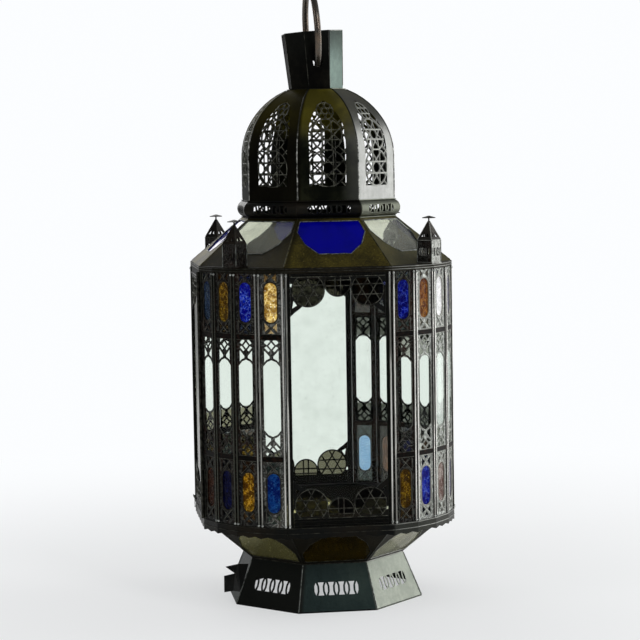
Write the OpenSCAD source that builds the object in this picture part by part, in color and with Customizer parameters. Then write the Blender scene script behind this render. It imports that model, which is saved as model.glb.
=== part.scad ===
// Hanging lantern of soldered sheet metal and glass, as used at festivals.
// A flared foot and a glazed taper carry a tall glazed body, octagonal in plan with rounded
// corners of narrow strips. Over it stand a glazed roof with four turrets, a half-round
// moulding, a pierced dome, a collar and a hanging ring. The left side of the body is a door.
// Millimetres. The origin is the centre of the foot's lower edge, and the front faces -Y.

/* [Plan] */
// Width of the body across its flat sides
across_flats = 460; // [430:2:490]
// How far each rounded corner stands out past the flat of the octagon
corner_bulge = 23.5; // [18:0.5:28]
// Width of the foot across its flats at the floor
foot_w = 346; // [310:2:380]
// Width across the flats at the neck between foot and taper
neck_w = 282; // [260:2:300]
// Width across the flats of the half-round moulding
moulding_w = 288; // [280:2:296]
// How far the head of the roof stands in from the moulding
roof_step = 9; // [7:0.5:12]
// How far the dome stands in from the moulding
dome_step = 10; // [8:0.5:12]

/* [Heights] */
// Height of the flared foot
foot_h = 82; // [70:1:95]
// Height of the glazed taper under the body
taper_h = 85; // [75:1:95]
// Height of the glazed body
body_h = 457; // [420:1:500]
// Height of the glazed roof
roof_h = 82; // [72:1:92]
// Height of the half-round moulding
moulding_h = 32; // [28:1:36]
// Height of the upright wall of the dome
dome_wall_h = 77; // [65:1:90]
// Height of the apron that hangs below the body's foot
apron_h = 21; // [14:1:24]
// Height of the flat band round the top of the body
top_band_h = 10; // [6:1:14]

/* [Sheet and glass] */
// Thickness of the sheet metal
sheet = 1.2; // [0.9:0.1:1.5]
// Thickness of the glass
glass = 3; // [2:0.5:4]
// Width of the soldered seam between two sheets
seam = 0.2; // [0.1:0.05:0.3]
// How far a pane reaches behind the edge of its opening
pane_lap = 2; // [1:0.25:2.5]

/* [Corner strips] */
// Height of the lowest and of the highest tier of a strip
jewel_tier_h = 121; // [110:1:130]
// Width of a coloured pane's opening
jewel_w = 27; // [22:0.5:30]
// Height of a coloured pane's opening
jewel_h = 74; // [60:1:84]
// Width of the long clear opening of a strip
slot_w = 31; // [26:0.5:33]
// Height of the pierced lattice at each end of the long opening
lattice_h = 36; // [24:1:40]
// Height of each pointed end of the long opening
point_h = 11.5; // [8:0.5:15]
// Height of the flat strap between two tiers
strap_h = 8; // [5:0.5:12]
// Thickness of that strap
strap_t = 1.4; // [1:0.1:2]
// Radius of the half-round cames along every upright edge
came_r = 2.3; // [1.8:0.1:2.6]
// Distance of a came's middle from the edge of its sheet
came_inset = 3.3; // [3:0.1:4]

/* [Windows and door] */
// Width of the sheet stile beside a window
stile_w = 11; // [9:0.5:14]
// Height of the sheet rail above and below a window
rail_h = 14; // [12:0.5:18]
// Width of the bars of the pierced tracery
bar_w = 2.6; // [2:0.1:3.2]
// Width of the bars of the dome's tracery
gore_bar_w = 3; // [2.4:0.1:3.6]
// Radius of the half-round beads along the rails
bead_r = 1.6; // [1.2:0.1:2]
// Gap round the door leaf
door_gap = 0.5; // [0.4:0.1:0.8]
// Outer radius of the hinge barrel
barrel_r = 2.7; // [2.5:0.1:2.9]
// Radius of the hinge pin
pin_r = 1.3; // [1.1:0.1:1.4]
// Radial clearance of a pin in its bore
pin_fit = 0.05; // [0.03:0.01:0.08]
// Distance of the hinge axis from the corner line
hinge_out = 3.4; // [3.3:0.05:3.6]
// Width of the leaf that joins a barrel to its sheet
hinge_leaf_w = 8; // [6:0.5:10]
// Thickness of that leaf
hinge_leaf_t = 1.4; // [1.2:0.1:1.6]
// Thickness of the latch hook
hook_t = 1.2; // [1:0.1:1.6]
// Radius of the rivet that the latch hook hangs on
rivet_r = 1.3; // [1.1:0.1:1.5]

/* [Dome, collar and ring] */
// Width across the flats of the ring plate that closes the dome
cap_w = 104; // [100:1:108]
// Width across the flats of the collar at its foot
collar_foot_w = 94; // [90:1:96]
// Width across the flats of the collar at its mouth
collar_top_w = 107; // [100:1:112]
// Height of the collar
collar_h = 104; // [90:1:115]
// Sideways lean of the collar, in degrees
collar_lean = 3.4; // [0:0.2:5]
// Height of the ring holes above the foot of the collar
ring_hole_h = 47; // [40:1:55]
// Radius of the hanging ring to the middle of its rod
ring_r = 77; // [70:1:84]
// Thickness of the hanging ring's rod
ring_rod = 12; // [10:0.5:13]
// Least gap between the ring's rod and its hole
ring_gap = 0.6; // [0.4:0.1:0.9]

/* [Turrets] */
// Width of each square turret
turret_w = 30; // [26:1:32]
// Height of a turret's tower
tower_h = 42; // [36:1:48]
// Height of a turret's pointed cap
turret_cap_h = 33; // [28:1:40]
// Radius of the disc on a turret
finial_r = 12; // [9:0.5:13]
// Height of the spike under that disc
spike_h = 5; // [3:0.5:8]

/* [Candle] */
// Radius of the bore of the candle cup
cup_r = 14; // [10:0.5:18]
// Depth of the bore of the candle cup
cup_h = 32; // [24:1:40]
// Radius of the drip plate under the cup
drip_r = 32; // [26:1:40]

/* [Hidden] */
$fn = 48;

// Overrun of a cut past the sheet that it goes through
cut = 1;
// Half the angle of one side of an octagon, and half that of a square
half_turn = 22.5;
quarter_turn = 45;

// Heights above the floor
z_neck = foot_h;
z_body = z_neck + taper_h;
z_roof = z_body + body_h;
z_moulding = z_roof + roof_h;
z_dome = z_moulding + moulding_h;
z_spring = z_dome + dome_wall_h;

// Plan of the body: an octagon whose diagonal sides bulge out as arcs of four strips
ap_body = across_flats / 2;
half_side = ap_body * tan(half_turn);
arc_r = (half_side * half_side + corner_bulge * corner_bulge) / (2 * corner_bulge);
arc_back = ap_body + corner_bulge - arc_r;
arc_half = asin(half_side / arc_r);
STRIPS = 4;
strip_turn = 2 * arc_half / STRIPS;
strip_w = 2 * arc_r * sin(strip_turn / 2);
strip_ap = arc_r * cos(strip_turn / 2);
// Angle between a flat side and the strip next to it
side_turn = quarter_turn - arc_half + strip_turn / 2;
panel_h = body_h - sheet;
edge_trim = sheet * tan(side_turn / 2) + seam / 2;

function arc_point(i) =
    [arc_r * sin((i - STRIPS / 2) * strip_turn), -arc_back - arc_r * cos((i - STRIPS / 2) * strip_turn)];

// Opening of a wide window
half_open = half_side - stile_w;

// Colours of the finishes
dark_iron = "#2b2723";
old_brass = "#4d4326";
green_brass = "#6b7466";
blue_glass = "#1b2f9c";
gold_glass = "#a87a1c";
amber_glass = "#4a3510";
clear_glass = "#dfe8e2";

// Places a child on a sloping side: X across, Y up the slope, Z outwards, from the lower edge
module on_side(az, ap_lo, z_lo, ap_hi, z_hi)
    rotate([0, 0, az]) translate([0, -ap_lo, z_lo])
        rotate([atan2(z_hi - z_lo, ap_lo - ap_hi), 0, 0]) children();

// Places a child on a flat side of the body, counted from the front: X across, Y up, Z outwards
module on_wide(side)
    rotate([0, 0, 90 * side]) translate([0, -ap_body, z_body]) rotate([90, 0, 0]) children();

// Places a child on a strip of a rounded corner, counted from the front right corner
module on_strip(corner, strip)
    rotate([0, 0, quarter_turn + 90 * corner]) translate([0, -arc_back, z_body])
        rotate([0, 0, (strip - (STRIPS - 1) / 2) * strip_turn]) translate([0, -strip_ap, 0])
            rotate([90, 0, 0]) children();

// Plan of the share of a ring that belongs to one side, less half a seam at each mitre
module plan_slice(half, reach, gap)
    translate([0, -gap / 2 / sin(half)])
        polygon([[0, 0], [reach * tan(half), -reach], [-reach * tan(half), -reach]]);

module side_sector(az, half, reach, z_lo, z_hi, gap)
    rotate([0, 0, az]) translate([0, 0, z_lo]) linear_extrude(z_hi - z_lo) plan_slice(half, reach, gap);

module octagon(ap) rotate(half_turn) circle(r = ap / cos(half_turn), $fn = 8);

// One of the eight sheets of a sloping octagonal band, with its children cut out of it
module octagon_sheet(az, ap_lo, z_lo, ap_hi, z_hi) {
    slope = norm([ap_hi - ap_lo, z_hi - z_lo]);
    lo = ap_lo * tan(half_turn);
    hi = ap_hi * tan(half_turn);
    intersection() {
        on_side(az, ap_lo, z_lo, ap_hi, z_hi) translate([0, 0, -sheet]) linear_extrude(sheet)
            difference() {
                polygon([[-lo, 0], [lo, 0], [hi, slope], [-hi, slope]]);
                children();
            }
        side_sector(az, half_turn, 2 * max(ap_lo, ap_hi), z_lo, z_hi, seam);
    }
}

// A side of an octagonal ring whose section is the child: X out from the axis, Y up
module octagon_rail(az, reach, z_lo, z_hi)
    intersection() {
        rotate([0, 0, az]) translate([0, 0, z_lo]) rotate([90, 0, -90])
            linear_extrude(2 * reach, center = true) children();
        side_sector(az, half_turn, 2 * reach, z_lo, z_hi, seam);
    }

// Row of pierced slots: pointed ovals with an hourglass between each two
// Shares of the pitch between ovals and of the height of the row
oval_share = 0.15;
waist_share = 0.17;
horn_share = 0.29;

module oval(w, h) polygon([[0, -h / 2], [w, -h / 5], [w, h / 5], [0, h / 2], [-w, h / 5], [-w, -h / 5]]);

module hourglass(waist, horn, h)
    polygon([[-horn, -h / 2], [horn, -h / 2], [waist, -h / 5], [waist, h / 5],
             [horn, h / 2], [-horn, h / 2], [-waist, h / 5], [-waist, -h / 5]]);

module slot_row(count, pitch, h)
    for (i = [0 : count - 1]) translate([(i - (count - 1) / 2) * pitch, 0]) {
        oval(oval_share * pitch, h);
        if (i < count - 1)
            translate([pitch / 2, 0]) hourglass(waist_share * pitch, horn_share * pitch, h);
    }

// Flared foot: eight pierced sheets
FOOT_OVALS = 5;
foot_slope = norm([(foot_w - neck_w) / 2, foot_h]);
foot_row_share = 0.49;
foot_row_h_share = 0.27;
foot_pitch_share = 0.13;

module base_skirt()
    color(dark_iron)
        for (i = [0 : 7])
            octagon_sheet(i * 45, foot_w / 2, 0, neck_w / 2, z_neck)
                translate([0, foot_row_share * foot_slope])
                    slot_row(FOOT_OVALS, foot_pitch_share * foot_w * tan(half_turn), foot_row_h_share * foot_slope);

// Candle tray in the neck, and the cup on it
module candle_tray()
    color(dark_iron)
        translate([0, 0, z_neck]) linear_extrude(sheet) octagon(neck_w / 2);

module candle_cup()
    color(dark_iron)
        translate([0, 0, z_neck + sheet]) {
            cylinder(r = drip_r, h = sheet);
            difference() {
                cylinder(r = cup_r + sheet, h = sheet + cup_h);
                translate([0, 0, sheet]) cylinder(r = cup_r, h = cup_h + cut);
            }
        }

// Half-octagon pane of the taper and the roof. Shares of the sheet's half width at that height
// and of its slope, counted from the sheet's narrow edge
pane_shares = [[0.91, 0.06], [0.91, 0.28], [0.66, 0.535], [0.34, 0.735]];

function pane_point(share, narrow, wide, slope, lap, first) =
    [share[0] * (narrow + (wide - narrow) * share[1]) + lap, share[1] * slope + (first ? -lap : lap)];

function pane_half(narrow, wide, slope, lap) =
    [for (i = [0 : 3]) pane_point(pane_shares[i], narrow, wide, slope, lap, i == 0)];

module half_octagon_pane(narrow, wide, slope, lap) {
    right = pane_half(narrow, wide, slope, lap);
    polygon(concat(right, [for (i = [3 : -1 : 0]) [-right[i][0], right[i][1]]]));
}

// Taper: eight sheets, clear panes on the diagonals and amber ones on the flats
taper_slope = norm([ap_body - neck_w / 2, taper_h - 2 * sheet]);
taper_half_lo = neck_w / 2 * tan(half_turn);

module on_taper(az) on_side(az, neck_w / 2, z_neck + sheet, ap_body, z_body - sheet) children();

module taper_panels()
    color(old_brass)
        for (i = [0 : 7])
            octagon_sheet(i * 45, neck_w / 2, z_neck + sheet, ap_body, z_body - sheet)
                half_octagon_pane(taper_half_lo, half_side, taper_slope, 0);

module taper_glass(tint, first)
    color(tint, 0.6)
        for (i = [0 : 3])
            on_taper(i * 90 + first) translate([0, 0, -sheet - glass]) linear_extrude(glass)
                half_octagon_pane(taper_half_lo, half_side, taper_slope, pane_lap);

// Flat flange round the foot and the head of the body, eight mitred plates each
flange_w = 12;

module flange_ring(z)
    translate([0, 0, z])
        for (i = [0 : 7]) rotate([0, 0, i * 45]) linear_extrude(sheet)
            intersection() {
                plan_slice(half_turn, across_flats, seam);
                difference() {
                    if (i % 2 == 0)
                        polygon([[-half_side, -ap_body], [half_side, -ap_body], [0, 0]]);
                    else
                        polygon(concat([[0, 0]], [for (k = [0 : STRIPS]) arc_point(k)]));
                    octagon(ap_body - flange_w);
                }
            }

module sill_ring() color(dark_iron) flange_ring(z_body - sheet);

module head_ring() color(old_brass) flange_ring(z_roof - sheet);

// Apron under the body's foot: a plate on each strip and side, with a jagged lower edge
fringe = 3;
fringe_pitch = 16;

module apron_plate(w) {
    teeth = 2 * round(w / fringe_pitch / 2);
    polygon(concat([[w / 2, 0], [-w / 2, 0]],
                   [for (i = [0 : teeth]) [w * (i / teeth - 1 / 2), -apron_h + (i % 2) * fringe]]));
}

module apron_band()
    color(dark_iron) {
        for (corner = [0 : 3], strip = [0 : STRIPS - 1])
            on_strip(corner, strip) linear_extrude(sheet) apron_plate(strip_w);
        for (side = [0 : 3])
            on_wide(side) linear_extrude(sheet) apron_plate(2 * half_side);
    }

// Flat band round the top of the body
module top_band_plate(w)
    translate([-w / 2, body_h - top_band_h]) square([w, top_band_h]);

module top_band()
    color(old_brass) {
        for (corner = [0 : 3], strip = [0 : STRIPS - 1])
            on_strip(corner, strip) linear_extrude(sheet) top_band_plate(strip_w);
        for (side = [0 : 3])
            on_wide(side) linear_extrude(sheet) top_band_plate(2 * half_side);
    }

// Heights in a strip, above the foot of the body
upper_strap = body_h - jewel_tier_h;
slot_lo = jewel_tier_h + strap_h / 2 + lattice_h;
slot_hi = upper_strap - strap_h / 2 - lattice_h;

module stadium(w, h, y) {
    translate([-w / 2, y - (h - w) / 2]) square([w, h - w]);
    for (end = [-1, 1]) translate([0, y + end * (h - w) / 2]) circle(r = w / 2);
}

// Long opening with pointed ends. Shares of its half width and of the height of its point
shoulder_shares = [0.55, 0.7];

module long_opening()
    polygon([for (end = [-1, 1], p = [-1, -shoulder_shares[0], 0, shoulder_shares[0], 1])
        [-end * p * slot_w / 2,
         (end < 0 ? slot_lo : slot_hi) - end * point_h * (abs(p) == 1 ? 1 : (p == 0 ? 0 : 1 - shoulder_shares[1]))]]);

// Pierced lattice above the upper point, of two pairs of bars that cross: shares of the half
// width and of the lattice's height
diamond_shares = [[0, 0.86], [0.355, 0.694], [0, 0.53], [-0.355, 0.694]];
high_petal_shares = [[0.14, 0.92], [0.52, 0.733], [0.83, 0.83], [0.83, 0.89], [0.61, 0.965], [0.23, 0.965]];
low_petal_shares = [[0.54, 0.667], [0.15, 0.48], [0.36, 0.394], [0.83, 0.605]];
leg_shares = [[0.86, 0.478], [0.22, 0.183], [0.22, 0.083], [0.62, 0], [0.86, -0.117]];

module lattice_hole(shares, flip)
    polygon([for (s = shares) [flip * s[0] * slot_w / 2, s[1] * lattice_h]]);

module lattice() {
    lattice_hole(diamond_shares, 1);
    for (flip = [-1, 1], shares = [high_petal_shares, low_petal_shares, leg_shares])
        lattice_hole(shares, flip);
}

// Pierced cross between the end of a jewel and the strap, as three openings round its bars.
// Shares of the jewel's half width across, and of the room beyond its end upwards
jewel_room = (jewel_tier_h - jewel_h - strap_h) / 2;
cross_side_shares = [[0.85, -0.1], [0.85, 0.72], [0.2, 0.34]];
cross_far_shares = [[-0.45, 0.88], [0.45, 0.88], [0, 0.54]];

module jewel_cross()
    for (shares = [cross_side_shares, [for (s = cross_side_shares) [-s[0], s[1]]], cross_far_shares])
        polygon([for (s = shares) [s[0] * jewel_w / 2, s[1] * jewel_room]]);

// Opening of one jewel, centred at that height, with a cross at each end
module jewel_opening(y) {
    stadium(jewel_w, jewel_h, y);
    translate([0, y + jewel_h / 2]) jewel_cross();
    translate([0, y - jewel_h / 2]) mirror([0, 1]) jewel_cross();
}

module strip_sheet()
    translate([0, 0, -sheet]) linear_extrude(sheet)
        difference() {
            translate([-strip_w / 2 + edge_trim, 0]) square([strip_w - 2 * edge_trim, panel_h]);
            jewel_opening(jewel_tier_h / 2);
            jewel_opening(body_h - jewel_tier_h / 2);
            long_opening();
            translate([0, slot_hi]) lattice();
            translate([0, slot_lo]) mirror([0, 1]) lattice();
        }

module corner_panels(corner)
    color(dark_iron)
        for (strip = [0 : STRIPS - 1]) on_strip(corner, strip) strip_sheet();

// Upright half-round bar from the foot of the body
module upright_bar(r, h)
    rotate([-90, 0, 0]) linear_extrude(h)
        intersection() {
            circle(r = r);
            translate([-r, -r]) square([2 * r, r]);
        }

// Cames along both edges of each strip, and the straps between the tiers. The edge at the
// hinge has none, because the hinge leaf takes its place
HINGE_CORNER = 3;
strap_half = strip_w / 2 - came_inset - came_r - seam;

module corner_cames(corner)
    color(green_brass)
        for (strip = [0 : STRIPS - 1]) on_strip(corner, strip) {
            for (edge = [-1, 1])
                if (corner != HINGE_CORNER || strip != 0 || edge > 0)
                    translate([edge * (strip_w / 2 - came_inset), 0, 0])
                        upright_bar(came_r, body_h - top_band_h);
            for (y = [jewel_tier_h, upper_strap])
                translate([-strap_half, y - strap_h / 2, 0]) cube([2 * strap_half, strap_h, strap_t]);
        }

// Coloured panes, each behind a jewel's opening and the pierced crosses at its ends. The
// colours alternate, and swap between the tiers
module jewel_panes(corner, tint, first)
    color(tint, 0.8)
        for (strip = [0 : STRIPS - 1])
            on_strip(corner, strip)
                translate([-jewel_w / 2 - pane_lap,
                           ((strip + first) % 2 == 0 ? body_h - jewel_tier_h / 2 : jewel_tier_h / 2)
                               - jewel_h / 2 - jewel_room, -sheet - glass])
                    cube([jewel_w + 2 * pane_lap, jewel_h + 2 * jewel_room, glass]);

module long_panes(corner)
    color(clear_glass, 0.35)
        for (strip = [0 : STRIPS - 1])
            on_strip(corner, strip)
                translate([-slot_w / 2 - pane_lap, slot_lo - lattice_h, -sheet - glass])
                    cube([slot_w + 2 * pane_lap, slot_hi - slot_lo + 2 * lattice_h, glass]);

// Bead along a rail of a window
module rail_bead(half, y)
    translate([-half, y, 0]) rotate([90, 0, 90]) linear_extrude(2 * half)
        intersection() {
            circle(r = bead_r);
            translate([-bead_r, 0]) square([2 * bead_r, bead_r]);
        }

// Frame of a window or of the door leaf, from its own lower edge. A hinged edge has no came
module sheet_frame(h, trim, hinged) {
    for (edge = [-1, 1]) {
        translate([edge > 0 ? half_open : -half_side + trim, 0, -sheet])
            cube([stile_w - trim, h, sheet]);
        if (!(hinged && edge > 0))
            translate([edge * (half_side - came_inset - trim), 0, 0])
                upright_bar(came_r, h);
    }
    for (y = [0, h - rail_h])
        translate([-half_open + seam, y, -sheet]) cube([2 * (half_open - seam), rail_h, sheet]);
    for (y = [rail_h / 4, rail_h - 2 * bead_r, h - rail_h + 2 * bead_r])
        rail_bead(half_open - seam, y);
}

module window_frame(side)
    color(green_brass)
        on_wide(side)
            difference() {
                sheet_frame(panel_h, edge_trim, false);
                translate([-half_side, body_h - top_band_h, 0]) cube([2 * half_side, top_band_h, came_r + cut]);
            }

module window_pane(h)
    translate([-half_open - pane_lap, rail_h - pane_lap, -sheet - glass])
        cube([2 * (half_open + pane_lap), h - 2 * (rail_h - pane_lap), glass]);

module window_glass(side) color(clear_glass, 0.35) on_wide(side) window_pane(panel_h);

// Pierced valance that hangs from the head of a window. Shares of the opening's half width
large_r_share = 0.355;
large_x_share = 0.625;
large_drop_share = 0.29;
small_r_share = 0.29;
small_drop_share = 0.15;
foot_drop_share = 0.83;
spandrel_shares = [[1, 0.83], [0.9, 0.74], [0.8, 0.67], [0.62, 0.5], [1, 0.2]];
spandrel_hole_shares = [[0.96, 0.66], [0.86, 0.6], [0.93, 0.5]];
STAR_BARS = 6;
CROSS_BARS = 4;
star_bar_share = 0.3;
cross_bar_share = 0.2;

// Round tracery: straight bars that cross in a star inside a rim. The holes are what is left
module star_holes(r, bars, bar_share, bar = bar_w)
    difference() {
        circle(r = r - bar, $fn = 24);
        for (i = [0 : bars - 1]) rotate(i * 360 / bars)
            translate([-r, bar_share * r - bar / 2]) square([2 * r, bar]);
    }

// The valance hangs down from Y = 0
module valance() {
    large = [large_x_share * half_open, -large_drop_share * half_open];
    small = [0, -small_drop_share * half_open];
    linear_extrude(sheet)
        difference() {
            intersection() {
                union() {
                    translate([-half_open, small[1]]) square([2 * half_open, -small[1]]);
                    translate(small) circle(r = small_r_share * half_open);
                    for (flip = [-1, 1]) {
                        translate([flip * large[0], large[1]]) circle(r = large_r_share * half_open);
                        polygon([for (s = spandrel_shares) [flip * s[0] * half_open, -s[1] * half_open]]);
                    }
                }
                translate([-half_open + seam, -half_open]) square([2 * (half_open - seam), half_open - seam]);
            }
            intersection() {
                union() {
                    for (flip = [-1, 1])
                        translate([flip * large[0], large[1]])
                            star_holes(large_r_share * half_open, STAR_BARS, star_bar_share);
                    translate(small) star_holes(small_r_share * half_open, CROSS_BARS, cross_bar_share);
                }
                translate([bar_w - half_open, -half_open])
                    square([2 * (half_open - bar_w), half_open - 2 * bar_w]);
            }
            for (flip = [-1, 1])
                polygon([for (s = spandrel_hole_shares) [flip * s[0] * half_open, -s[1] * half_open]]);
        }
}

module valance_pair(h) {
    translate([0, h - rail_h, -sheet]) valance();
    translate([0, rail_h, -sheet]) mirror([0, 1, 0]) valance();
}

module window_valances(side) color(dark_iron) on_wide(side) valance_pair(panel_h);

// Door leaf in the left side, hinged at its front edge
DOOR_SIDE = 3;
door_h = body_h - top_band_h - 2 * door_gap;
door_trim = edge_trim + door_gap;

module on_door() on_wide(DOOR_SIDE) translate([0, door_gap, 0]) children();

module door_frame() color(green_brass) on_door() sheet_frame(door_h, door_trim, true);

module door_glass() color(clear_glass, 0.35) on_door() window_pane(door_h);

module door_valances() color(dark_iron) on_door() valance_pair(door_h);

// Hinge of five long barrels, in turn on the strip and on the door, round one pin
KNUCKLES = 5;
knuckle_gap = 0.4;
knuckle_pitch = door_h / KNUCKLES;
knuckle_h = knuckle_pitch - knuckle_gap;

// Barrel with its leaf. The axis stands over a sheet's edge, and the leaf lies on the sheet
module knuckle(edge, away)
    difference() {
        union() {
            translate([edge - away * hinge_out * sin(side_turn / 2), 0, hinge_out * cos(side_turn / 2)])
                rotate([-90, 0, 0]) cylinder(r = barrel_r, h = knuckle_h);
            translate([away > 0 ? edge + door_gap : edge - hinge_leaf_w, 0, 0])
                cube([hinge_leaf_w - door_gap, knuckle_h, hinge_leaf_t]);
        }
        translate([edge - away * hinge_out * sin(side_turn / 2), -cut, hinge_out * cos(side_turn / 2)])
            rotate([-90, 0, 0]) cylinder(r = pin_r + pin_fit, h = knuckle_h + 2 * cut);
    }

module post_hinge_barrels()
    color(green_brass)
        on_strip(HINGE_CORNER, 0)
            for (i = [0 : 2 : KNUCKLES - 1])
                translate([0, door_gap + i * knuckle_pitch, 0]) knuckle(-strip_w / 2, 1);

module door_hinge_barrels()
    color(green_brass)
        on_door()
            for (i = [1 : 2 : KNUCKLES - 1])
                translate([0, i * knuckle_pitch, 0]) knuckle(half_side, -1);

// The pin rests on its head above the top barrel
pin_head_h = 0.8;

module hinge_pin()
    color(dark_iron)
        on_door()
            translate([half_side + hinge_out * sin(side_turn / 2), -door_gap, hinge_out * cos(side_turn / 2)])
                rotate([-90, 0, 0]) {
                    cylinder(r = pin_r, h = door_h + door_gap);
                    translate([0, 0, door_gap + door_h - knuckle_gap]) cylinder(r = barrel_r, h = pin_head_h);
                }

// Latch: a flat hook hangs from a rivet at the foot of the door's free stile. Swung up sideways,
// its mouth takes in a headed peg on the strip beside the door
LATCH_CORNER = 2;
rivet_head_h = 1;
rivet_head_r = 2.2;
peg_r = 1.1;
peg_head_r = 2.4;
latch_play = 0.2;
mouth_play = 0.5;
hook_eye_r = 3.2;
hook_shank_w = 2.6;
hook_head_r = 4;
hook_y = 8;
// Places of the rivet and of the peg along the side, clear of the cames beside the corner line
rivet_x = half_open + rivet_head_r + seam;
peg_x = half_side + (came_inset + came_r + peg_head_r + seam) * cos(side_turn);
hook_reach = peg_x - rivet_x;
hook_z = came_r + 2 * latch_play;

// Headed pin that stands on a sheet and holds the hook's eye or its mouth
module headed_pin(foot_r, shaft_r, head_r, depth) {
    translate([0, 0, -depth]) cylinder(r = foot_r, h = depth + hook_z - latch_play);
    translate([0, 0, -depth]) cylinder(r = shaft_r, h = depth + hook_z + hook_t + latch_play);
    translate([0, 0, hook_z + hook_t + latch_play]) cylinder(r = head_r, h = rivet_head_h);
}

module hook_rivet()
    color(dark_iron) on_door() translate([-rivet_x, hook_y, 0]) headed_pin(rivet_head_r, rivet_r, rivet_head_r, 0);

module latch_peg()
    color(dark_iron)
        difference() {
            on_door() translate([-peg_x, hook_y, 0]) headed_pin(peg_r, peg_r, peg_head_r, came_inset + hook_head_r);
            on_strip(LATCH_CORNER, STRIPS - 1)
                translate([-strip_w, 0, -across_flats]) cube([2 * strip_w, body_h, across_flats]);
        }

module door_hook()
    color(dark_iron)
        on_door() translate([-rivet_x, hook_y, hook_z])
            linear_extrude(hook_t)
                difference() {
                    union() {
                        circle(r = hook_eye_r);
                        translate([-hook_shank_w / 2, -hook_reach]) square([hook_shank_w, hook_reach]);
                        translate([0, -hook_reach]) circle(r = hook_head_r);
                    }
                    circle(r = rivet_r + pin_fit);
                    translate([0, -hook_reach]) circle(r = peg_r + mouth_play);
                    translate([0, -hook_reach])
                        polygon([[0, -peg_r - mouth_play], [0, peg_r + mouth_play],
                                 [-2 * hook_head_r, hook_head_r - latch_play], [-2 * hook_head_r, -peg_r - mouth_play]]);
                }

// Roof: eight sheets, blue panes on the flats and clear ones on the diagonals. The pane hangs
// from the narrow upper edge
roof_top_ap = moulding_w / 2 - roof_step;
roof_slope = norm([ap_body - roof_top_ap, roof_h]);
roof_half_hi = roof_top_ap * tan(half_turn);

module roof_pane(lap)
    translate([0, roof_slope]) mirror([0, 1]) half_octagon_pane(roof_half_hi, half_side, roof_slope, lap);

module roof_panels()
    color(old_brass)
        for (i = [0 : 7])
            octagon_sheet(i * 45, ap_body, z_roof, roof_top_ap, z_moulding) roof_pane(0);

module roof_glass(tint, first)
    color(tint, 0.7)
        for (i = [0 : 3])
            on_side(i * 90 + first, ap_body, z_roof, roof_top_ap, z_moulding)
                translate([0, 0, -sheet - glass]) linear_extrude(glass) roof_pane(pane_lap);

// Turrets on the rounded corners: a square tower with slots, a pierced pointed cap, a spike
// and a domed disc
turret_edge = 1;
turret_out = ap_body + turret_w / 2 + turret_edge + seam;
TURRET_OVALS = 3;
tower_row_share = 0.49;
tower_row_h_share = 0.34;
cap_hole_shares = [[-0.6, 0.14], [-0.1, 0.14], [-0.1, 0.3], [-0.2, 0.4]];
finial_rise = 3;

module on_turret(corner) rotate([0, 0, quarter_turn + 90 * corner]) translate([0, -turret_out, 0]) children();

module turret_towers()
    color(dark_iron)
        for (corner = [0 : 3]) on_turret(corner) {
            translate([0, 0, z_roof]) linear_extrude(sheet) square(turret_w + 2 * turret_edge, center = true);
            difference() {
                translate([0, 0, z_roof + sheet]) linear_extrude(tower_h - sheet)
                    difference() {
                        square(turret_w, center = true);
                        square(turret_w - 2 * sheet, center = true);
                    }
                for (turn = [0, 90])
                    rotate([0, 0, turn]) translate([0, turret_w, z_roof + tower_row_share * tower_h])
                        rotate([90, 0, 0]) linear_extrude(2 * turret_w)
                            slot_row(TURRET_OVALS, turret_w / TURRET_OVALS, tower_row_h_share * tower_h);
            }
        }

module cap_sheet(az) {
    base = turret_w / 2;
    slope = norm([base - rivet_r, turret_cap_h]);
    intersection() {
        on_side(az, base, z_roof + tower_h, rivet_r, z_roof + tower_h + turret_cap_h)
            translate([0, 0, -sheet]) linear_extrude(sheet)
                difference() {
                    polygon([[-base, 0], [base, 0], [rivet_r, slope], [-rivet_r, slope]]);
                    for (flip = [-1, 1])
                        polygon([for (s = cap_hole_shares) [flip * s[0] * base, s[1] * slope]]);
                }
        side_sector(az, quarter_turn, turret_w, z_roof + tower_h, z_roof + tower_h + turret_cap_h, 0);
    }
}

module turret_caps()
    color(dark_iron)
        for (corner = [0 : 3]) on_turret(corner) {
            for (i = [0 : 3]) cap_sheet(i * 90);
            translate([0, 0, z_roof + tower_h + turret_cap_h - 3 * sheet])
                cylinder(r = rivet_r, h = spike_h + 3 * sheet);
            translate([0, 0, z_roof + tower_h + turret_cap_h + spike_h]) {
                cylinder(r = finial_r, h = sheet);
                translate([0, 0, sheet]) cylinder(r1 = finial_r, r2 = rivet_r, h = finial_rise);
            }
        }

// Half-round moulding with a flat flange above and below, pierced with slots
moulding_r = moulding_h / 2;
moulding_ap = moulding_w / 2 - moulding_r;
// The flanges reach past the roof's head and the dome's foot
flange_lip = 2;
moulding_flange_w = moulding_r - min(roof_step, dome_step) + flange_lip;
moulding_pitch_share = 0.15;
moulding_row_h_share = 0.42;

module moulding_section() {
    intersection() {
        translate([moulding_ap, moulding_r])
            difference() {
                circle(r = moulding_r);
                circle(r = moulding_r - sheet);
            }
        translate([moulding_ap, 0]) square([moulding_w, moulding_h]);
    }
    for (y = [0, moulding_h - sheet]) translate([moulding_ap, y]) square([moulding_flange_w, sheet]);
}

module moulding_ring()
    color(dark_iron)
        for (i = [0 : 7])
            difference() {
                octagon_rail(i * 45, moulding_w / 2, z_moulding, z_dome) moulding_section();
                rotate([0, 0, i * 45]) translate([0, -moulding_ap - moulding_flange_w, z_moulding + moulding_r])
                    rotate([90, 0, 0]) linear_extrude(moulding_r)
                        slot_row(FOOT_OVALS, moulding_pitch_share * moulding_w * tan(half_turn),
                                 moulding_row_h_share * moulding_h);
            }

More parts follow.
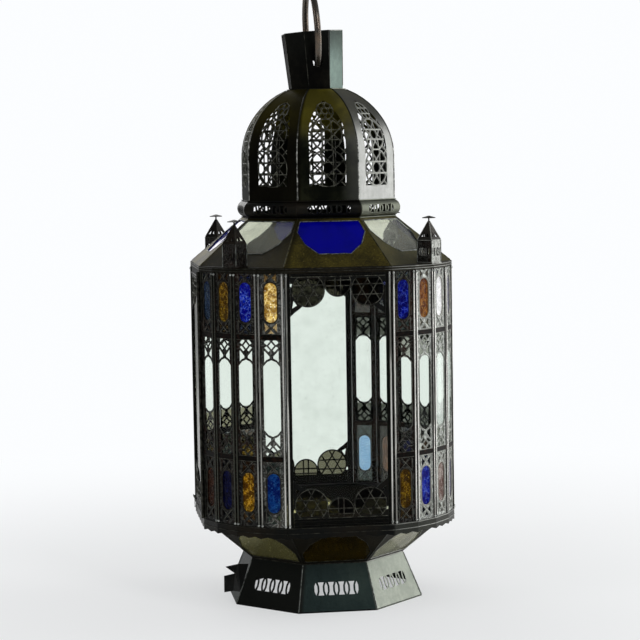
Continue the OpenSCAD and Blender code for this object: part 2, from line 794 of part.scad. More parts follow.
// Dome: eight gores, upright and then curved in, each with a pierced panel. The cut at the
// head leaves a flat seat for the cap plate
dome_ap = moulding_w / 2 - dome_step;
cap_seat = 0.4;
cap_edge = 2;
cap_z = sqrt(dome_ap * dome_ap - pow(cap_w / 2 - cap_edge, 2)) - cap_seat;
z_cap = z_spring + cap_z;

module gore_section()
    intersection() {
        difference() {
            union() {
                square([dome_ap, dome_wall_h]);
                translate([0, dome_wall_h]) circle(r = dome_ap);
            }
            translate([0, -cut]) square([dome_ap - sheet, dome_wall_h + cut]);
            translate([0, dome_wall_h]) circle(r = dome_ap - sheet);
        }
        translate([cap_w / 2 - cap_edge, 0]) square([dome_ap, dome_wall_h + cap_z]);
    }

// Pierced panel of a gore: three round stars, one over the other, in a pointed arch, with ties
// from each star to the edges. Shares of the gore's half width for a radius, and of the dome's
// height for a place
gore_star_shares = [[0.62, 0.285], [0.53, 0.581], [0.3, 0.795]];
GORE_BARS = [8, 8, 6];
TIE_TURNS = [0, 45, 135];
gore_bar_share = 0.3;
gore_half = dome_ap * tan(half_turn);
gore_h = dome_wall_h + cap_z;
panel_half_share = 0.6;
panel_foot_share = 0.125;
panel_spring_share = 0.56;
panel_arch_share = 2.5;

module gore_panel() {
    half = panel_half_share * gore_half;
    arch = panel_arch_share * half;
    translate([-half, panel_foot_share * gore_h])
        square([2 * half, (panel_spring_share - panel_foot_share) * gore_h]);
    intersection() {
        translate([half - arch, panel_spring_share * gore_h]) circle(r = arch, $fn = 96);
        translate([arch - half, panel_spring_share * gore_h]) circle(r = arch, $fn = 96);
        translate([-half, panel_spring_share * gore_h]) square([2 * half, gore_h]);
    }
}

module gore_holes()
    translate([0, -cap_w / 2, z_dome]) rotate([90, 0, 0]) linear_extrude(dome_ap) {
        for (i = [0 : 2])
            translate([0, gore_star_shares[i][1] * gore_h])
                star_holes(gore_star_shares[i][0] * gore_half, GORE_BARS[i], gore_bar_share, gore_bar_w);
        difference() {
            gore_panel();
            for (s = gore_star_shares) translate([0, s[1] * gore_h]) {
                circle(r = s[0] * gore_half, $fn = 24);
                for (turn = TIE_TURNS)
                    rotate(turn) translate([-gore_half, -gore_bar_w / 2]) square([2 * gore_half, gore_bar_w]);
            }
        }
    }

module dome_gores()
    color(dark_iron)
        for (i = [0 : 7])
            difference() {
                octagon_rail(i * 45, dome_ap, z_dome, z_cap) gore_section();
                rotate([0, 0, i * 45]) gore_holes();
            }

module dome_cap_plate()
    color(dark_iron)
        translate([0, 0, z_cap]) linear_extrude(sheet)
            difference() {
                octagon(cap_w / 2);
                octagon(collar_foot_w / 2 - 2 * cap_edge - sheet);
            }

// Collar: eight sheets that widen upwards and lean a little to the left, with a round hole in
// the front and in the back for the ring
z_collar = z_cap + sheet;
collar_spread = (collar_top_w - collar_foot_w) / 2;
ring_hole_ap = collar_foot_w / 2 + collar_spread * ring_hole_h / collar_h - sheet / 2;
// Angle between the ring's rod and the wall's normal where it goes through
ring_entry = asin(ring_hole_ap / ring_r) + atan(collar_spread / collar_h);
ring_hole_r = ring_rod / 2 / cos(ring_entry) + sheet / 2 * tan(ring_entry) + ring_gap;
ring_z = ring_hole_h + sqrt(ring_r * ring_r - ring_hole_ap * ring_hole_ap);
collar_sink = collar_top_w * sin(collar_lean);

module leaning() translate([0, 0, z_collar]) rotate([0, -collar_lean, 0]) children();

// Half width across the flats of the collar at a height above its foot
function collar_ap(h) = collar_foot_w / 2 + collar_spread * h / collar_h;

module collar()
    color(green_brass)
        difference() {
            leaning()
                for (i = [0 : 7])
                    octagon_sheet(i * 45, collar_ap(-collar_sink), -collar_sink, collar_ap(collar_h), collar_h);
            translate([0, 0, z_collar - across_flats]) linear_extrude(across_flats)
                square(across_flats, center = true);
            leaning() translate([0, 0, ring_hole_h]) rotate([90, 0, 0])
                cylinder(r = ring_hole_r, h = across_flats, center = true);
        }

module hanging_ring()
    color(dark_iron)
        leaning() translate([0, 0, ring_z]) rotate([0, 90, 0])
            rotate_extrude() translate([ring_r, 0]) circle(r = ring_rod / 2);

base_skirt();
candle_tray();
candle_cup();
taper_panels();
taper_glass(clear_glass, 45);  // taper_glass_clear
taper_glass(amber_glass, 0);  // taper_glass_amber
sill_ring();
apron_band();
corner_panels(0);  // panels_front_right
corner_panels(1);  // panels_back_right
corner_panels(2);  // panels_back_left
corner_panels(3);  // panels_front_left
corner_cames(0);  // cames_front_right
corner_cames(1);  // cames_back_right
corner_cames(2);  // cames_back_left
corner_cames(3);  // cames_front_left
jewel_panes(0, blue_glass, 0);  // blue_panes_front_right
jewel_panes(1, blue_glass, 0);  // blue_panes_back_right
jewel_panes(2, blue_glass, 0);  // blue_panes_back_left
jewel_panes(3, blue_glass, 0);  // blue_panes_front_left
jewel_panes(0, gold_glass, 1);  // gold_panes_front_right
jewel_panes(1, gold_glass, 1);  // gold_panes_back_right
jewel_panes(2, gold_glass, 1);  // gold_panes_back_left
jewel_panes(3, gold_glass, 1);  // gold_panes_front_left
long_panes(0);  // long_panes_front_right
long_panes(1);  // long_panes_back_right
long_panes(2);  // long_panes_back_left
long_panes(3);  // long_panes_front_left
head_ring();
top_band();
window_frame(0);  // front_window_frame
window_glass(0);  // front_window_glass
window_valances(0);  // front_valances
window_frame(1);  // right_window_frame
window_glass(1);  // right_window_glass
window_valances(1);  // right_valances
window_frame(2);  // back_window_frame
window_glass(2);  // back_window_glass
window_valances(2);  // back_valances
door_frame();
door_glass();
door_valances();
door_hinge_barrels();
post_hinge_barrels();
hinge_pin();
hook_rivet();
latch_peg();
door_hook();
roof_panels();
roof_glass(blue_glass, 0);  // roof_glass_blue
roof_glass(clear_glass, 45);  // roof_glass_clear
turret_towers();
turret_caps();
moulding_ring();
dome_gores();
dome_cap_plate();
collar();
hanging_ring();
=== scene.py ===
import math
import random

import bmesh
import bpy
from mathutils import Matrix, Vector


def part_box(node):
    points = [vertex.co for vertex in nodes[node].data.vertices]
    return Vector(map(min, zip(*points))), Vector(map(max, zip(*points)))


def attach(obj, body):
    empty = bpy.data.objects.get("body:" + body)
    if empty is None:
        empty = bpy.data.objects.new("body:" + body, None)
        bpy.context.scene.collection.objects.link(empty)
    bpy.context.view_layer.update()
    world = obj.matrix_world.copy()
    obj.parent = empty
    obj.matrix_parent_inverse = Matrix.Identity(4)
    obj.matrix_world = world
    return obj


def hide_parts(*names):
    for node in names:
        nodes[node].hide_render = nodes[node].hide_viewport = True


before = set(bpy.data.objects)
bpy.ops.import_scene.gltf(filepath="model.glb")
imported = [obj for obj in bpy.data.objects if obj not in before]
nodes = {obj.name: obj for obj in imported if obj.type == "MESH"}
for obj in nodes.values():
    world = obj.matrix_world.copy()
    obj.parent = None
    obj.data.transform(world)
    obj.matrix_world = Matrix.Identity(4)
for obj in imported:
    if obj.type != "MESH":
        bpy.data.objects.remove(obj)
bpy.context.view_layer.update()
MM = 0.001

# The view: from the left of the front, a little above the middle of the lantern, with a long
# lens, as the photograph was taken.
scene = bpy.context.scene
scene.view_settings.view_transform = "Standard"
LENS_MM = 112.5
SENSOR_MM = 36.0
camera_place = Vector((-0.523, -3.673, 0.818))
yaw = math.radians(-8.11)
pitch = math.radians(-4.7)
roll = math.radians(-0.94)
camera_data = bpy.data.cameras.new("camera")
camera_data.lens = LENS_MM
camera_data.sensor_width = SENSOR_MM
camera_data.sensor_fit = "HORIZONTAL"
camera_data.clip_start = 0.05
camera_data.clip_end = 60.0
camera = bpy.data.objects.new("camera", camera_data)
camera.matrix_world = (Matrix.Translation(camera_place) @ Matrix.Rotation(yaw, 4, "Z")
                       @ Matrix.Rotation(math.pi / 2 + pitch, 4, "X") @ Matrix.Rotation(roll, 4, "Z"))
scene.collection.objects.link(camera)
scene.camera = camera


# The room: a pale floor, a white background, and four large soft lamps. The tallest stand on the
# right and in front, where they shine in the sheets that face that way.
class Value:
    """A number that changes over a surface. Sums of it add Math nodes."""

    def __init__(self, finish, socket):
        self.finish = finish
        self.socket = socket

    def maths(self, operation, *terms, clamp=False):
        made = self.finish.node("Math", {"operation": operation, "use_clamp": clamp},
                                dict(enumerate(terms)))
        return self.finish.read(made, 0)

    def __add__(self, other):
        return self.maths("ADD", self, other)

    def __radd__(self, other):
        return self.maths("ADD", other, self)

    def __sub__(self, other):
        return self.maths("SUBTRACT", self, other)

    def __rsub__(self, other):
        return self.maths("SUBTRACT", other, self)

    def __mul__(self, other):
        return self.maths("MULTIPLY", self, other)

    def __rmul__(self, other):
        return self.maths("MULTIPLY", other, self)

    def clamped(self):
        return self.maths("ADD", self, 0.0, clamp=True)

    def larger(self, other):
        return self.maths("MAXIMUM", self, other)

    def smaller(self, other):
        return self.maths("MINIMUM", self, other)

    def size(self):
        return self.maths("ABSOLUTE", self)

    def root(self):
        return self.maths("SQRT", self)


class Finish:
    """A material, or the room's light, and the nodes that it is mixed from."""

    def __init__(self, name, owner=None):
        self.material = owner or bpy.data.materials.new(name)
        self.material.use_nodes = True
        self.tree = self.material.node_tree
        self.tree.nodes.clear()

    def node(self, kind, settings=None, sockets=None):
        made = self.tree.nodes.new("ShaderNode" + kind)
        for key, setting in (settings or {}).items():
            setattr(made, key, setting)
        for key, value in (sockets or {}).items():
            if isinstance(value, Value):
                self.tree.links.new(value.socket, made.inputs[key])
            else:
                made.inputs[key].default_value = value
        return made

    def read(self, made, output):
        return Value(self, made.outputs[output])

    def split(self):
        """The three coordinates of a point of the object."""
        made = self.node("SeparateXYZ", None, {0: self.place()})
        return [self.read(made, i) for i in range(3)]

    def place(self, stretch=(1.0, 1.0, 1.0)):
        here = self.read(self.node("TexCoord"), "Object")
        if stretch == (1.0, 1.0, 1.0):
            return here
        return self.read(self.node("Mapping", None, {"Vector": here, "Scale": stretch}), 0)

    def cloud(self, scale, detail=4.0, stretch=(1.0, 1.0, 1.0), roughness=0.55):
        made = self.node("TexNoise", None, {"Vector": self.place(stretch), "Scale": scale,
                                            "Detail": detail, "Roughness": roughness})
        return self.read(made, "Fac")

    def cells(self, scale, feature="F1"):
        made = self.node("TexVoronoi", {"feature": feature}, {"Vector": self.place(), "Scale": scale})
        return self.read(made, "Distance")

    def band(self, value, low, high):
        """0 below low, 1 above high."""
        made = self.node("MapRange", {"interpolation_type": "SMOOTHSTEP"},
                         {"Value": value, "From Min": low, "From Max": high})
        return self.read(made, "Result")

    def mixed(self, first, second, share):
        made = self.node("Mix", {"data_type": "RGBA"}, {0: share, 6: first, 7: second})
        return self.read(made, 2)

    def bump(self, height, strength, depth):
        made = self.node("Bump", None, {"Height": height, "Strength": strength, "Distance": depth})
        return self.read(made, 0)

    def straight(self):
        """1 for a ray that comes from the camera, or on through glass."""
        ray = self.node("LightPath")
        return self.read(ray, "Is Camera Ray").larger(self.read(ray, "Is Transmission Ray"))

    def ended(self, shader, output="Material"):
        end = self.node("Output" + output)
        self.tree.links.new(shader.outputs[0], end.inputs["Surface"])
        return self.material

    def surface(self, sockets):
        return self.ended(self.node("BsdfPrincipled", None, sockets))


def rgb(red, green, blue):
    """A colour as it is seen, 0 to 255, in the linear scale of the shaders."""
    levels = [(c / 255.0 / 12.92) if c <= 10 else ((c / 255.0 + 0.055) / 1.055) ** 2.4
              for c in (red, green, blue)]
    return (*levels, 1.0)


BACKGROUND = (0.97, 0.985, 1.0, 1.0)
ROOM_LEVEL = 0.45
world = bpy.data.worlds.new("room")
scene.world = world
room = Finish("room", world)
seen = room.straight()
toward = room.node("SeparateXYZ", None, {0: room.read(room.node("TexCoord"), "Generated")})
sky = room.read(toward, "Z")
behind = room.band(room.read(toward, "Y"), -0.1, 0.8)
right_side = room.band(room.read(toward, "X"), 0.3, 0.95)
shine = (0.05 + 0.14 * behind + 0.3 * right_side + 0.08 * sky).clamped()
glossy = room.read(room.node("LightPath"), "Is Glossy Ray")
dim = ROOM_LEVEL + glossy * (shine - ROOM_LEVEL)
level = seen + (1.0 - seen) * dim
room.ended(room.node("Background", None, {"Color": BACKGROUND, "Strength": level}), "World")


def soft_lamp(name, place, aim, width, height, watts):
    lamp = bpy.data.lights.new(name, "AREA")
    lamp.shape = "RECTANGLE"
    lamp.size = width
    lamp.size_y = height
    lamp.energy = watts
    holder = bpy.data.objects.new(name, lamp)
    turn = (Vector(aim) - Vector(place)).to_track_quat("-Z", "Y")
    holder.matrix_world = Matrix.Translation(place) @ turn.to_matrix().to_4x4()
    scene.collection.objects.link(holder)


MIDDLE = (0.0, 0.0, 0.6)
soft_lamp("right_lamp", (2.6, 0.45, 0.9), MIDDLE, 1.3, 2.4, 32)
soft_lamp("front_lamp", (1.5, -2.9, 2.2), MIDDLE, 0.8, 2.4, 34)
soft_lamp("left_lamp", (-2.9, -1.3, 2.0), MIDDLE, 0.8, 2.2, 12)
soft_lamp("back_lamp", (-0.8, 2.6, 1.9), MIDDLE, 2.2, 2.2, 30)

floor_finish = Finish("pale_floor")
floor_far = floor_finish.node("VectorMath", {"operation": "LENGTH"}, {0: floor_finish.place()})
fade = 0.5 + 0.5 * floor_finish.band(floor_finish.read(floor_far, "Value"), 0.4, 1.9)
matt = floor_finish.node("BsdfDiffuse", None, {"Color": (0.86, 0.86, 0.85, 1.0)})
white = floor_finish.node("Emission", None, {"Color": BACKGROUND, "Strength": 1.0})
floor_mix = floor_finish.node("MixShader", None, {0: floor_finish.straight() * fade})
floor_finish.tree.links.new(matt.outputs[0], floor_mix.inputs[1])
floor_finish.tree.links.new(white.outputs[0], floor_mix.inputs[2])
floor_finish.ended(floor_mix)


def finished(sketch, name, material):
    """A sketch as a mesh of one material."""
    mesh = bpy.data.meshes.new(name)
    sketch.to_mesh(mesh)
    sketch.free()
    mesh.materials.append(material)
    return mesh


FLOOR_R = 9.0
sketch = bmesh.new()
bmesh.ops.create_circle(sketch, cap_ends=True, segments=96, radius=FLOOR_R)
floor = bpy.data.objects.new("floor", finished(sketch, "floor", floor_finish.material))
scene.collection.objects.link(floor)

# The foot: eight thin sheets, blackened with age, pierced with a row of slots and soldered
# along their edges. The sheet that faces the front right is painted a lighter grey-green, a painted
# reflection, and the sheets that face the front left are painted darker, a painted shade.
DIAGONAL = (math.sqrt(0.5), -math.sqrt(0.5), 0.0)
LEFT_DIAGONAL = ((-math.sqrt(0.5), -math.sqrt(0.5), 0.0), 0.9, 0.92)
LEFT_SIDES = ((-0.924, -0.383, 0.0), 0.7, 0.74)
FLAT_SIDE = (DIAGONAL, math.cos(math.pi / 8) - 0.006, math.cos(math.pi / 8) + 0.002)


def side_share(coat, side):
    """1 on the sheets whose place, seen from above, lies within an angle of a direction."""
    direction, low, high = side
    x, y, _ = coat.split()
    flat = coat.node("CombineXYZ", None, {0: x, 1: y})
    facing = coat.node("VectorMath", {"operation": "NORMALIZE"}, {0: coat.read(flat, 0)})
    turned = coat.node("VectorMath", {"operation": "DOT_PRODUCT"},
                       {0: coat.read(facing, 0), 1: direction})
    return coat.band(coat.read(turned, "Value"), low, high)


def looking(coat, direction, low, high):
    """1 on the faces that look towards a direction."""
    face = coat.read(coat.node("NewGeometry"), "Normal")
    turned = coat.node("VectorMath", {"operation": "DOT_PRODUCT"}, {0: face, 1: direction})
    return coat.band(coat.read(turned, "Value"), low, high)


def aged_sheet(name, dark, stain, bright, rough=0.42, sheen=1.0, relief=0.25,
               fading=None, left_shade=None, edge_sheen=0.0, dulled=0.0):
    """Blackened sheet: dark, clouded with stain, and lighter on the sheet that faces the front right,
    a painted reflection streaked with wear. It may tarnish above a height, where that painted
    reflection fades, be painted darker on the sheets that face the front left, a painted shade, get
    a painted highlight on the next sheets beside the lighter one, and be dulled on its left and
    front left sides."""
    coat = Finish(name)
    broad = coat.cloud(9.0, 6.0)
    fine = coat.cloud(75.0, 8.0, roughness=0.7)
    streaks = coat.cloud(60.0, 5.0, (1.0, 1.0, 0.12), 0.6)
    wear_and_sheen = coat.band(fine * 0.6 + streaks * 0.4, 0.42, 0.62)
    body = coat.mixed(dark, stain, coat.band(broad * 0.7 + fine * 0.3, 0.44, 0.66))
    scuffs = coat.band(fine, 0.66, 0.8) * 0.1
    # Painted reflection: the sheet that faces the front right is mixed towards the bright colour, streaked by
    # the wear pattern, and the next sheets beside it get a painted highlight.
    flat = side_share(coat, FLAT_SIDE)
    share = flat * sheen * (0.72 + 0.26 * wear_and_sheen) + edge_sheen * side_share(coat, (DIAGONAL, 0.8, 0.925))
    metal = 0.85
    if fading:
        low, high, tarnish = fading
        rise = coat.band(coat.split()[2], low, high)
        share = share * (1.0 - 0.75 * rise)
        tarnished = rise * (1.0 - 0.75 * flat)
        body = coat.mixed(body, tarnish, tarnished * (0.35 + 0.5 * coat.band(broad, 0.4, 0.6)))
        metal = 0.85 - 0.5 * tarnished
    # Painted shade: the sheets that face the front left are mixed towards a darker colour.
    if left_shade:
        body = coat.mixed(body, left_shade, 0.85 * side_share(coat, LEFT_DIAGONAL))
    if dulled:
        metal = metal * (1.0 - dulled * side_share(coat, LEFT_SIDES))
    share = share + scuffs
    height = coat.cloud(900.0, 3.0) * 0.3 + fine + streaks * 0.5
    return coat.surface({
        "Base Color": coat.mixed(body, bright, share.clamped()),
        "Metallic": metal,
        "Specular IOR Level": 0.0 if dulled else 0.5,
        "Roughness": (rough + 0.22 * (broad - 0.5) + 0.2 * (fine - 0.5)).clamped(),
        "Normal": coat.bump(height, relief, 0.002),
    })


def dress(material, *names):
    for name in names:
        for slot in nodes[name].material_slots:
            slot.material = material


foot_sheet = aged_sheet("foot_sheet", rgb(30, 42, 41), rgb(46, 58, 54), rgb(140, 145, 134),
                        left_shade=rgb(17, 16, 11))
# The black sheet gets a faint painted reflection on the front right.
black_sheet = aged_sheet("black_sheet", rgb(14, 16, 15), rgb(33, 28, 20), rgb(58, 60, 55))
dress(foot_sheet, "base_skirt")
dress(black_sheet, "sill_ring", "apron_band", "candle_tray")


def solder_tree():
    """Geometry Nodes: a bead of solder, or a raised wire, along every edge of a sketch."""
    tree = bpy.data.node_groups.new("solder_bead", "GeometryNodeTree")
    face = tree.interface
    for name, kind in (("Sketch", "Geometry"), ("Radius", "Float"), ("Sides", "Int"),
                       ("Unevenness", "Float"), ("Lump Size", "Float"), ("Step", "Float"),
                       ("Finish", "Material")):
        face.new_socket(name, in_out="INPUT", socket_type="NodeSocket" + kind)
    face.new_socket("Beads", in_out="OUTPUT", socket_type="NodeSocketGeometry")

    def add(kind, **settings):
        made = tree.nodes.new(kind)
        for key, setting in settings.items():
            setattr(made, key, setting)
        return made

    def link(start, output, end, socket):
        tree.links.new(start.outputs[output], end.inputs[socket])

    given = add("NodeGroupInput")
    done = add("NodeGroupOutput")
    line = add("GeometryNodeMeshToCurve")
    spaced = add("GeometryNodeResampleCurve", mode="LENGTH")
    section = add("GeometryNodeCurvePrimitiveCircle", mode="RADIUS")
    tube = add("GeometryNodeCurveToMesh")
    tube.inputs["Fill Caps"].default_value = True
    lump = add("ShaderNodeTexNoise", noise_dimensions="4D")
    lump.inputs["W"].default_value = 3.7
    lump.inputs["Detail"].default_value = 2.0
    centred = add("ShaderNodeMath", operation="SUBTRACT")
    centred.inputs[1].default_value = 0.5
    sized = add("ShaderNodeMath", operation="MULTIPLY")
    outward = add("GeometryNodeInputNormal")
    shift = add("ShaderNodeVectorMath", operation="SCALE")
    where = add("GeometryNodeInputPosition")
    moved = add("GeometryNodeSetPosition")
    smooth = add("GeometryNodeSetShadeSmooth")
    real = add("GeometryNodeRealizeInstances")
    painted = add("GeometryNodeSetMaterial")
    link(given, "Sketch", line, "Mesh")
    link(line, "Curve", spaced, "Curve")
    link(given, "Step", spaced, "Length")
    link(spaced, "Curve", tube, "Curve")
    link(given, "Radius", section, "Radius")
    link(given, "Sides", section, "Resolution")
    link(section, "Curve", tube, "Profile Curve")
    link(where, "Position", lump, "Vector")
    link(given, "Lump Size", lump, "Scale")
    link(lump, 0, centred, 0)
    link(centred, 0, sized, 0)
    link(given, "Unevenness", sized, 1)
    link(outward, "Normal", shift, 0)
    link(sized, 0, shift, "Scale")
    link(tube, "Mesh", moved, "Geometry")
    link(shift, 0, moved, "Offset")
    link(moved, "Geometry", smooth, "Geometry")
    link(smooth, "Geometry", real, "Geometry")
    link(real, "Geometry", painted, "Geometry")
    link(given, "Finish", painted, "Material")
    link(painted, "Geometry", done, "Beads")
    return tree


solder_beads = solder_tree()


def as_piece(name, mesh, body):
    piece = bpy.data.objects.new(name, mesh)
    scene.collection.objects.link(piece)
    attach(piece, body)
    return piece


def bead(name, paths, radius, material, body="lantern",
         sides=6, uneven=0.0, lumps=260.0, step=3 * MM):
    """Solder beads or raised wires along paths, in metres. A path that ends where it began
    closes."""
    mesh = bpy.data.meshes.new(name + "_sketch")
    points, edges = [], []
    for path in paths:
        first = len(points)
        closed = (Vector(path[0]) - Vector(path[-1])).length < 1e-7
        run = path[:-1] if closed else path
        points += [tuple(p) for p in run]
        edges += [(first + i, first + i + 1) for i in range(len(run) - 1)]
        if closed:
            edges.append((first + len(run) - 1, first))
    mesh.from_pydata(points, edges, [])
    sketch_piece = bpy.data.objects.new(name + "_sketch", mesh)
    scene.collection.objects.link(sketch_piece)
    modifier = sketch_piece.modifiers.new("beads", "NODES")
    modifier.node_group = solder_beads
    wanted = {"Radius": radius, "Sides": sides, "Unevenness": uneven, "Lump Size": lumps,
              "Step": step, "Finish": material}
    for socket in solder_beads.interface.items_tree:
        if socket.name in wanted:
            modifier[socket.identifier] = wanted[socket.name]
    seen_by = bpy.context.evaluated_depsgraph_get()
    result = bpy.data.meshes.new_from_object(sketch_piece.evaluated_get(seen_by))
    result.name = name
    bpy.data.objects.remove(sketch_piece)
    return as_piece(name, result, body)


RIGHT_PART = (DIAGONAL, 0.9, 0.95)


def solder_finish(name, dark, bright, sheen=None, side=RIGHT_PART, fading=None):
    """Solder, or tinned wire: patches of dark and bright, with a painted highlight on the sheets of one
    side, and dark above a height."""
    coat = Finish(name)
    patch = coat.cloud(120.0, 6.0, roughness=0.65)
    tone = coat.mixed(dark, bright, coat.band(patch, 0.35, 0.7))
    # Painted highlight: mixed towards the sheen colour on one side.
    if sheen:
        tone = coat.mixed(tone, sheen, side_share(coat, side) * (0.3 + 0.7 * patch))
    if fading:
        tone = coat.mixed(tone, dark, coat.band(coat.split()[2], *fading))
    return coat.surface({"Base Color": tone, "Metallic": 0.9,
                         "Roughness": (0.28 + 0.3 * patch).clamped(),
                         "Normal": coat.bump(patch, 0.3, 0.001)})


dull_solder = solder_finish("dull_solder", rgb(52, 54, 50), rgb(150, 155, 150))
bright_solder = solder_finish("bright_solder", rgb(120, 124, 120), rgb(225, 228, 224))
edge_metal = solder_finish("edge_metal", rgb(18, 18, 16), rgb(74, 74, 66), rgb(188, 190, 184))

HALF_SIDE = math.pi / 8
OCTAGON = [HALF_SIDE + i * math.pi / 4 for i in range(8)]


def arris(angle, apothem, z):
    """A point on an upright edge of an octagon of that apothem."""
    r = apothem / math.cos(HALF_SIDE)
    return Vector((r * math.cos(angle), r * math.sin(angle), z))


def octagon_ring(apothem, z):
    """A closed line round an octagon."""
    return [arris(a, apothem, z) for a in OCTAGON + OCTAGON[:1]]


def octagon_seams(low_ap, low_z, high_ap, high_z):
    """The eight lines from the corners of one octagon to those of another above it."""
    return [[arris(a, low_ap, low_z), arris(a, high_ap, high_z)] for a in OCTAGON]


foot_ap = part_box("base_skirt")[1][0]
neck_low, neck_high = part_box("candle_tray")
neck_ap = neck_high[0]
neck_z = neck_low[2]
SEAM_R = 1.1 * MM
HEM_R = 1.3 * MM
NECK_R = 1.2 * MM
bead("foot_solder", octagon_seams(foot_ap - SEAM_R / 2, 2 * MM, neck_ap, neck_z - MM),
     SEAM_R, dull_solder, uneven=0.8 * MM, sides=8)
bead("foot_hem", [octagon_ring(foot_ap - HEM_R, HEM_R)], HEM_R, black_sheet, sides=8)
bead("neck_solder", [octagon_ring(neck_ap - SEAM_R / 2, neck_z + 0.5 * MM)],
     NECK_R, edge_metal, uneven=1.2 * MM, sides=8)

# A tongue of the left sheet of the foot has torn at its slots and stands out, bent. It is the
# foot's own blackened sheet, held along its front edge and waved where it tore free.
TONGUE = [(-149, -60, 72), (-166, -44, 69), (-188, -26, 61), (-172, -38, 51), (-191, -22, 44),
          (-190, -20, 11), (-175, -36, 17), (-164, -60, 20)]
TONGUE_ROOT = 150 * MM
TONGUE_REACH = 40 * MM
TONGUE_BUCKLE = 4 * MM
TONGUE_WAVES = 110.0
sketch = bmesh.new()
rim = [sketch.verts.new([c * MM for c in point]) for point in TONGUE]
sketch.faces.new(rim)
bmesh.ops.triangulate(sketch, faces=sketch.faces[:])
bmesh.ops.subdivide_edges(sketch, edges=sketch.edges[:], cuts=4, use_grid_fill=True)
for vert in sketch.verts:
    out = (-vert.co.x - TONGUE_ROOT) / TONGUE_REACH
    vert.co.y += TONGUE_BUCKLE * math.sin(vert.co.z * TONGUE_WAVES) * max(out, 0.0)
tongue_mesh = finished(sketch, "torn_tongue", black_sheet)
tongue = as_piece("torn_tongue", tongue_mesh, "lantern")
thick = tongue.modifiers.new("thickness", "SOLIDIFY")
thick.thickness = 1.1 * MM

# The candle cup is of the same sheet, with a drip plate, and soldered to the tray in the neck.
# Soot and wax have clouded it brown.
cup_sheet = aged_sheet("sooty_sheet", rgb(26, 24, 22), rgb(60, 46, 30), rgb(120, 110, 90), sheen=0.0)
dress(cup_sheet, "candle_cup")

# The taper: eight sheets of thin brass gone olive, stamped all over with a shallow pattern, each
# with one pane. The panes on the flat sides are dark amber, the others clear but dusty.


def stamped_brass(name, dark, gold, bright, pattern, sheen, side, faces=None, second_sheen=None):
    """Thin sheet stamped with scrolls, dark in its hollows and a little lighter on its ridges. One side
    gets a painted highlight, strongest on the ridges, and another may get a fainter, patchy one."""
    coat = Finish(name)
    broad = coat.cloud(12.0, 6.0)
    fine = coat.cloud(110.0, 6.0)
    bent = coat.node("TexNoise", None, {"Vector": coat.place(), "Scale": 60.0, "Detail": 1.0})
    swing = coat.node("VectorMath", {"operation": "SCALE"}, {0: coat.read(bent, "Color"), "Scale": 0.016})
    path = coat.node("VectorMath", {"operation": "ADD"}, {0: coat.place(), 1: coat.read(swing, 0)})
    rings = coat.node("TexVoronoi", {"feature": "F1"}, {"Vector": coat.read(path, 0), "Scale": pattern})
    scroll = coat.read(rings, "Distance").maths("SINE", coat.read(rings, "Distance") * 19.0)
    ridge = coat.band(scroll, 0.1, 0.75)
    body = coat.mixed(dark, gold, coat.band(broad * 0.6 + fine * 0.4, 0.44, 0.66))
    # Painted highlight on the sheets of one side, strongest on the ridges, and only on faces that look a
    # given way when faces is set.
    wear_and_sheen = side_share(coat, side) * sheen * (0.35 + 0.5 * ridge)
    if faces:
        wear_and_sheen = wear_and_sheen * looking(coat, *faces)
    # A fainter, patchy painted highlight on the sheets of another side.
    if second_sheen:
        wear_and_sheen = wear_and_sheen + side_share(coat, second_sheen) * (0.14 + 0.3 * ridge) * coat.band(broad, 0.4, 0.56)
    share = (0.06 + 0.05 * fine) * ridge + wear_and_sheen
    height = ridge * 0.7 + fine * 0.5
    return coat.surface({"Base Color": coat.mixed(body, bright, share.clamped()), "Metallic": 0.8,
                         "Roughness": (0.34 + 0.3 * fine).clamped(),
                         "Normal": coat.bump(height, 0.5, 0.0015)})


def mottled_brass(name, dark, gold, speck, bright):
    """Plain thin brass, gone olive and brown, with a fine grain and small bright flecks, painted shade
    on the sheets that face the front left and a painted highlight on the sheet that faces the front right.
    """
    coat = Finish(name)
    broad = coat.cloud(14.0, 6.0, roughness=0.6)
    grain = coat.cloud(320.0, 6.0, roughness=0.7)
    flecks = coat.band(coat.cloud(190.0, 3.0), 0.62, 0.72)
    body = coat.mixed(dark, gold, coat.band(broad * 0.55 + grain * 0.45, 0.38, 0.66))
    body = coat.mixed(body, speck, 0.35 * flecks)
    # Painted shade: darker on the sheets that face the front left.
    body = coat.mixed(body, rgb(22, 20, 8), 0.75 * side_share(coat, LEFT_DIAGONAL))
    # Painted highlight: lighter on the sheet that faces the front right.
    share = side_share(coat, FLAT_SIDE) * (0.25 + 0.35 * grain)
    return coat.surface({"Base Color": coat.mixed(body, bright, share.clamped()), "Metallic": 0.6,
                         "Roughness": (0.4 + 0.3 * grain).clamped(), "Specular IOR Level": 0.2,
                         "Normal": coat.bump(grain + 0.7 * broad, 0.45, 0.0015)})


olive_brass = mottled_brass("olive_brass", rgb(42, 38, 16), rgb(98, 88, 34),
                            rgb(160, 144, 76), rgb(100, 100, 80))
dark_brass = mottled_brass("dark_brass", rgb(15, 14, 9), rgb(34, 29, 17),
                           rgb(70, 60, 40), rgb(58, 56, 48))
dress(dark_brass, "taper_panels")


def pane(name, tint, haze, dusty=0.25, through=1.0, rough=0.0, ripple=0.06,
         other=None, turn=None, bend=1.25):
    """Old window glass: a little wavy, with specks of dirt. The panes on one side may have
    another tint."""
    coat = Finish(name)
    specks = coat.band(coat.cloud(260.0, 2.0), 0.68, 0.76)
    film = coat.band(coat.cloud(26.0, 6.0), 0.4, 0.8)
    wave = coat.cloud(30.0, 1.0)
    tone = coat.mixed(tint, haze, (film * dusty + specks * 0.5).clamped())
    if other:
        tone = coat.mixed(tone, other, side_share(coat, turn) * (1.0 - 0.4 * specks))
    return coat.surface({"Base Color": tone,
                         "Roughness": (rough + 0.2 * specks).clamped(), "IOR": bend,
                         "Transmission Weight": through,
                         "Normal": coat.bump(wave, ripple, 0.002)})


